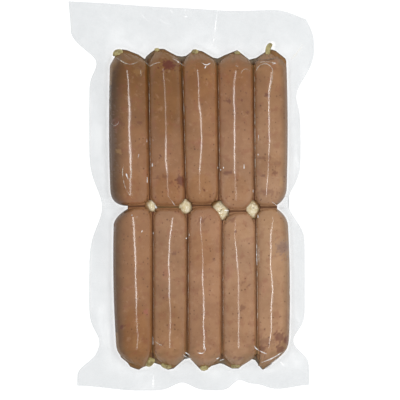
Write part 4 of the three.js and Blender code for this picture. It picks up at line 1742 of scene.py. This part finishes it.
@dataclass
class Creases:
    """Sharp folds that stand on the front film as low rounded ridges, with painted highlights and painted
    shade along them.

    Args:
        relief: the films' heights.
        step: between sections along a fold.
        rise: height of a wide fold's crown.
        lines: the folds.
    """

    relief: Relief
    step: float = 0.6
    rise: float = 0.22
    lines: tuple[Crease, ...] = ()

    def smooth_path(self, points: tuple[tuple[float, float], ...]) -> np.ndarray:
        """Even points on a smooth curve through the given ones."""
        given = np.array(points, dtype=float)
        if len(given) > 2:
            for _ in range(3):
                cut = [given[0]]
                for a, b in zip(given[:-1], given[1:]):
                    cut.append(0.75 * a + 0.25 * b)
                    cut.append(0.25 * a + 0.75 * b)
                cut.append(given[-1])
                given = np.array(cut)
        gone = np.concatenate([[0], np.cumsum(np.linalg.norm(np.diff(given, axis=0), axis=1))])
        even = np.linspace(0, gone[-1], max(4, int(gone[-1] / self.step) + 1))
        return np.stack([np.interp(even, gone, given[:, k]) for k in range(2)], axis=1)

    def build(self, front: np.ndarray, finishes: dict[Fold, bpy.types.Material]) -> None:
        """Builds one piece for each kind of fold.

        Args:
            front: the front film's heights.
            finishes: a material for each kind.
        """
        for kind in Fold:
            chosen = [line for line in self.lines if line.kind is kind]
            if not chosen:
                continue
            points, faces, shown = [], [], []
            for number, line in enumerate(chosen):
                path = self.smooth_path(line.points)
                start = sum(len(p) for p in points)
                grid, show = self.ridge(path, line, number, front)
                points.append(grid.reshape(-1, 3))
                shown.append(show.ravel())
                faces.append(grid_faces(*grid.shape[:2]) + start)
            piece = new_piece(
                "fold_" + kind.value,
                np.concatenate(points),
                np.concatenate(faces).tolist(),
                finishes[kind],
                {"show": np.concatenate(shown)},
            )
            settle(piece, Slot.FILM)

    def ridge(self, path: np.ndarray, line: Crease, number: int,
              front: np.ndarray) -> tuple[np.ndarray, np.ndarray]:
        """One low ridge along a path, fading at its ends.

        Returns:
            Its grid of points, and how much of it shows at each.
        """
        lean = np.gradient(path, axis=0)
        lean /= np.maximum(np.linalg.norm(lean, axis=1), 1e-6)[:, None]
        aside = np.stack([-lean[:, 1], lean[:, 0]], axis=1)
        along = np.linspace(0, 1, len(path))
        ends = np.clip(np.minimum(along, 1 - along) * 5, 0, 1) ** 0.6
        far = np.arange(len(path)) * self.step
        uneven = 0.8 + 0.35 * Ripple(130 + number, 7).at(far, far * 0)
        half = line.half * (0.35 + 0.65 * ends) * uneven
        across = np.array([-1, -0.6, 0, 0.6, 1])
        spot = path[:, None, :] + aside[:, None, :] * (across[None, :] * half[:, None])[..., None]
        base = self.relief.sample(front, spot[..., 0], spot[..., 1])
        crown = self.rise * (1 - across**2)[None, :] * (0.4 + 0.6 * ends)[:, None]
        z = base + 0.06 + crown * min(1.0, line.half / 0.5)
        edge = np.array([0, 0.8, 1, 0.8, 0])
        show = line.show * np.clip(uneven, 0.3, 1)[:, None] * (0.15 + 0.85 * ends)[:, None] * edge
        return np.concatenate([spot, z[..., None]], axis=-1), np.clip(show, 0, 1)


def pack_creases() -> tuple[Crease, ...]:
    """The folds, with the painted highlights and shade along them, placed as they lie on the pack."""
    g, w, c, s = Fold.GLINT, Fold.WHITE, Fold.CREAM_HIGHLIGHT, Fold.SMOKE
    rows = (
        (w, 0.55, 1.0, ((21, 145.9), (20, 140.8), (19, 131.4), (18.3, 126), (17.2, 117))),
        (w, 0.45, 0.8, ((13, 121.3), (17.2, 116.6))),
        (w, 0.4, 0.7, ((-4.7, 146.6), (-4, 140.3))),
        (w, 0.35, 0.6, ((-5.6, 139.2), (-4, 140.3), (-2.4, 138.9))),
        (w, 0.4, 0.5, ((-69.4, 142), (-66, 138.2), (-60.8, 135.3))),
        (w, 0.4, 0.5, ((-39.8, 143.4), (-37, 139.2), (-32.5, 136))),
        (w, 0.4, 0.5, ((-25, 138.9), (-22, 135.3), (-18, 133.8), (-14.8, 135.3))),
        (w, 0.35, 0.5, ((-16.8, 145.9), (-14, 142.7))),
        (c, 1.1, 0.7, ((87.2, 118.3), (84.7, 113.5), (77.8, 105.8))),
        (w, 0.8, 0.8, ((-29.2, -138.1), (-29.8, -151.9))),
        (w, 0.6, 0.8, ((69.1, -129.1), (72.9, -133))),
        (w, 0.5, 0.7, ((28.3, -136.1), (32.7, -139))),
        (c, 0.45, 0.9, ((-59.3, 108), (-53.8, 104.1), (-49.9, 101.8), (-44.5, 101.8), (-40.6, 104.1))),
        (c, 0.4, 0.9, ((-36.7, 104.9), (-31.7, 99.9))),
        (c, 0.4, 0.7, ((-32, 100.2), (-27.3, 102.6), (-23.4, 103.2))),
        (c, 0.3, 0.5, ((-39, 97.4), (-38.6, 91.6))),
        (w, 0.35, 0.5, ((-14.6, 106.4), (-10.4, 104.2), (-5, 100.2))),
        (w, 0.45, 0.9, ((7.8, 103.4), (11.7, 100.5), (15.6, 103))),
        (w, 0.4, 0.8, ((11.7, 100.5), (10.6, 98.2))),
        (c, 0.4, 0.5, ((38.6, 93.4), (39.6, 97), (43.7, 98.4), (46, 96.3))),
        (c, 0.35, 0.5, ((34, 101), (37, 99.4))),
        (c, 0.4, 0.9, ((49.6, 94.8), (52.3, 100.6), (57.3, 102.6), (60.9, 101), (63.2, 98), (63.4, 93),
                       (62, 86), (61.4, 80))),
        (c, 0.45, 0.6, ((-63, 96), (-63.2, 80), (-63, 60))),
        (c, 0.4, 0.5, ((-61.6, 56), (-59.6, 53.6), (-57, 55), (-55.4, 58))),
        (w, 0.35, 0.6, ((-29.6, -109.6), (-29.4, -116))),
        (c, 0.35, 0.7, ((-28.2, -112.4), (-25.4, -115), (-21.8, -116.2))),
        (w, 0.5, 0.9, ((-6, -123.4), (-3.4, -126), (0.6, -127))),
        (w, 0.4, 0.8, ((-4.6, -121.6), (-1, -124))),
        (s, 0.9, 0.8, ((48.4, 104.4), (54, 105.6), (60, 105), (67.9, 107.6))),
        (c, 0.4, 0.9, ((52.4, 103.2), (58.5, 104), (66.8, 102.6))),
        (c, 0.55, 0.8, ((-51.8, 23.8), (-53, 20.3), (-52.8, 13.7), (-51.1, 6.6), (-47.6, 0.4),
                        (-45.2, -2.7))),
        (c, 0.5, 0.7, ((-46.1, 23), (-46.1, 14.4), (-48.1, 11.3))),
        (w, 0.6, 1.0, ((-50.3, 17.2), (-48.6, 12.3))),
        (w, 0.4, 0.6, ((-17.5, -0.4), (-12.2, -8.2))),
        (w, 0.5, 0.9, ((50.9, -37), (51.1, -54.2))),
        (c, 0.45, 0.7, ((52.6, -39), (52.6, -52))),
        (w, 0.45, 0.8, ((62.4, -4.8), (65, -6.4), (67.9, -9))),
        (w, 0.5, 0.8, ((48.7, -115.8), (50.9, -119.7), (59.3, -122.9))),
        (w, 0.5, 0.8, ((54.6, -129.9), (64, -126), (71, -121.3))),
        (s, 0.9, 0.7, ((53, -133.8), (56.2, -136.1), (62.4, -131.9), (71, -122.9))),
        (w, 0.45, 0.9, ((9.9, -113), (10.2, -117), (11.6, -119.6), (8.9, -122.6), (4.7, -121.6))),
        (w, 0.7, 1.0, ((25.8, -11.7), (29.4, -11.7))),
        (s, 0.4, 0.8, ((21.1, -4.7), (24.5, -9.6), (23.6, -11.4), (21.4, -13.4))),
        (w, 0.7, 0.9, ((-28.2, -7.2), (-26.6, -10.2))),
        (s, 0.3, 0.8, ((47.6, -9.7), (48.5, -8.9), (49.4, -9.7), (48.5, -10.6), (47.6, -9.8))),
        (s, 0.35, 0.7, ((46.6, -6.1), (51.3, -7.8))),
    )
    # Painted highlights: short bright strokes on the film.
    glints = (
        (-34.2, 42.5, 0, 3), (-29.4, 42.5, 0, 2), (-40.7, 30.5, 1, 4), (-30, 23.8, 0, 3),
        (-33.9, 12.1, 0, 5), (20.8, 21.5, 0, 2), (25.2, 21.5, 0, 2), (23, 19.9, 0, 2),
        (52.3, 44.6, 0, 5), (52, 31.6, 0, 2), (48.2, 3.5, 0, 3), (41.1, 22.5, 0, 4),
        (-41.9, -16.8, 1, 1), (-37.9, -27.7, 1, 2), (-29.2, -29.3, 0, 2), (-1.3, -30.8, 0, 2),
        (-3.6, -33.2, 1, 1), (52, -16, 0, 3), (-9.8, 103.4, 1, 1.6), (76.8, -74.9, 0, 5),
        (-45.6, -15.2, 0, 1.6), (64.4, 102.2, 3, 1), (24, -128, 4, 1.4), (21, -126.4, 3, 1.2),
    )
    small = tuple(
        (g, 0.42, 0.9, ((x - dx / 2, y - dy / 2), (x + dx / 2, y + dy / 2))) for x, y, dx, dy in glints
    )
    # Painted highlight: a pale line beside each crevice, where the film drawn across it reflects the light.
    beside = []
    for row, shows in ((UPPER, (0.7, 0.7, 0.6, 0.9)), (LOWER, (0.5, 0.65, 0.55, 0.8))):
        for index, show in enumerate(shows, 1):
            y = row.sausages[0].meets + row.sausages[0].outward * np.linspace(12, 106, 14)
            x = row.crevice(index, y) + 0.85
            beside.append((c, 0.3, show, tuple(zip(x.tolist(), y.tolist()))))
    return tuple(Crease(*row) for row in (*rows, *small, *beside))


@dataclass(frozen=True)
class Studio:
    """The pale floor, the lights and the camera."""

    view_x: float = 7.0
    view_y: float = -3.5
    view_width: float = 312.0
    distance: float = 1600.0
    sensor: float = 36.0
    floor_half: float = 2500.0
    floor_height: float = -0.4

    def floor(self) -> None:
        """A wide white floor that glows a little, so that it stays white."""
        material, make, shader = new_material("floor")
        grain = make.noise(8, 2)
        make.feed(shader.inputs["Base Color"], make.mix(grain, (0.2, 0.2, 0.2), (0.24, 0.24, 0.24)))
        shader.inputs["Roughness"].default_value = 0.9
        shader.inputs["Specular IOR Level"].default_value = 0.1
        shader.inputs["Emission Color"].default_value = (1, 1, 1, 1)
        shader.inputs["Emission Strength"].default_value = 0.96
        half, low = self.floor_half, self.floor_height
        points = np.array([[-half, -half, low], [half, -half, low], [half, half, low], [-half, half, low]])
        plane = new_piece("floor", points, [(0, 1, 2, 3)], material)

    def lamp(self, name: str, place: tuple[float, float, float], aim: tuple[float, float, float],
             size: tuple[float, float], watts: float, colour: tuple[float, float, float]) -> None:
        """An area lamp in metres, aimed at a point."""
        data = bpy.data.lights.new(name, "AREA")
        data.shape = "RECTANGLE"
        data.size, data.size_y = size
        data.energy = watts
        data.color = colour
        lamp = bpy.data.objects.new(name, data)
        lamp.location = place
        toward = Vector(aim) - Vector(place)
        lamp.rotation_euler = toward.to_track_quat("-Z", "Y").to_euler()
        lamp.visible_glossy = False
        bpy.context.scene.collection.objects.link(lamp)

    def light(self) -> None:
        """A narrow strip overhead, a broad key from the right, and a pale room."""
        strip = bpy.data.lights.new("strip", "AREA")
        strip.shape = "RECTANGLE"
        strip.size, strip.size_y = 0.09, 1.4
        strip.energy = 6.2
        lamp = bpy.data.objects.new("strip", strip)
        lamp.location = (self.view_x * MM, self.view_y * MM, 2.4)
        bpy.context.scene.collection.objects.link(lamp)
        self.lamp("key", (1.1, 0.1, 1.7), (0, 0, 0), (1.3, 1.3), 16.0, (1.0, 0.985, 0.96))
        world = bpy.data.worlds.new("room")
        world.use_nodes = True
        world.node_tree.nodes["Background"].inputs["Color"].default_value = (0.95, 0.97, 1.0, 1)
        world.node_tree.nodes["Background"].inputs["Strength"].default_value = 0.7
        bpy.context.scene.world = world

    def camera(self) -> None:
        """A long lens straight above, with the photograph's frame."""
        data = bpy.data.cameras.new("camera")
        data.sensor_width = self.sensor
        data.lens = self.sensor * self.distance / self.view_width
        data.clip_end = 50
        camera = bpy.data.objects.new("camera", data)
        camera.location = (self.view_x * MM, self.view_y * MM, (WELD_HEIGHT + self.distance) * MM)
        bpy.context.scene.collection.objects.link(camera)
        bpy.context.scene.camera = camera
        bpy.context.scene.view_settings.view_transform = "Standard"


def main() -> None:
    """Builds the pack round the frame, piece by piece."""
    logging.basicConfig(level=logging.INFO, format="%(name)s %(message)s")
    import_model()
    effects = Effects()
    casing = CasingFinish().make(effects)
    casings = Casings()
    for row in ROWS:
        for index in range(5):
            casings.build(row, index, casing)
    knots = Knots()
    knots.build(KnotFinish().make(effects))
    jelly = Jelly()
    jelly.build(JellyFinish().make(effects))
    seams = Seams()
    seams.build(SeamFinish().make(effects))
    relief = Relief(Outline(), knots, jelly, seams)
    films = Films(relief)
    finish = FilmFinish()
    front, back = films.build(finish.make(effects, "film"), finish.make(effects, "film_behind"))
    Flaps(relief).build(front, back, FlapFinish().make(effects))
    finishes = {finish.kind: finish.make(effects) for finish in FOLD_FINISHES}
    Creases(relief, lines=pack_creases()).build(front, finishes)
    studio = Studio()
    studio.floor()
    studio.light()
    studio.camera()


if __name__ == "__main__":
    main()
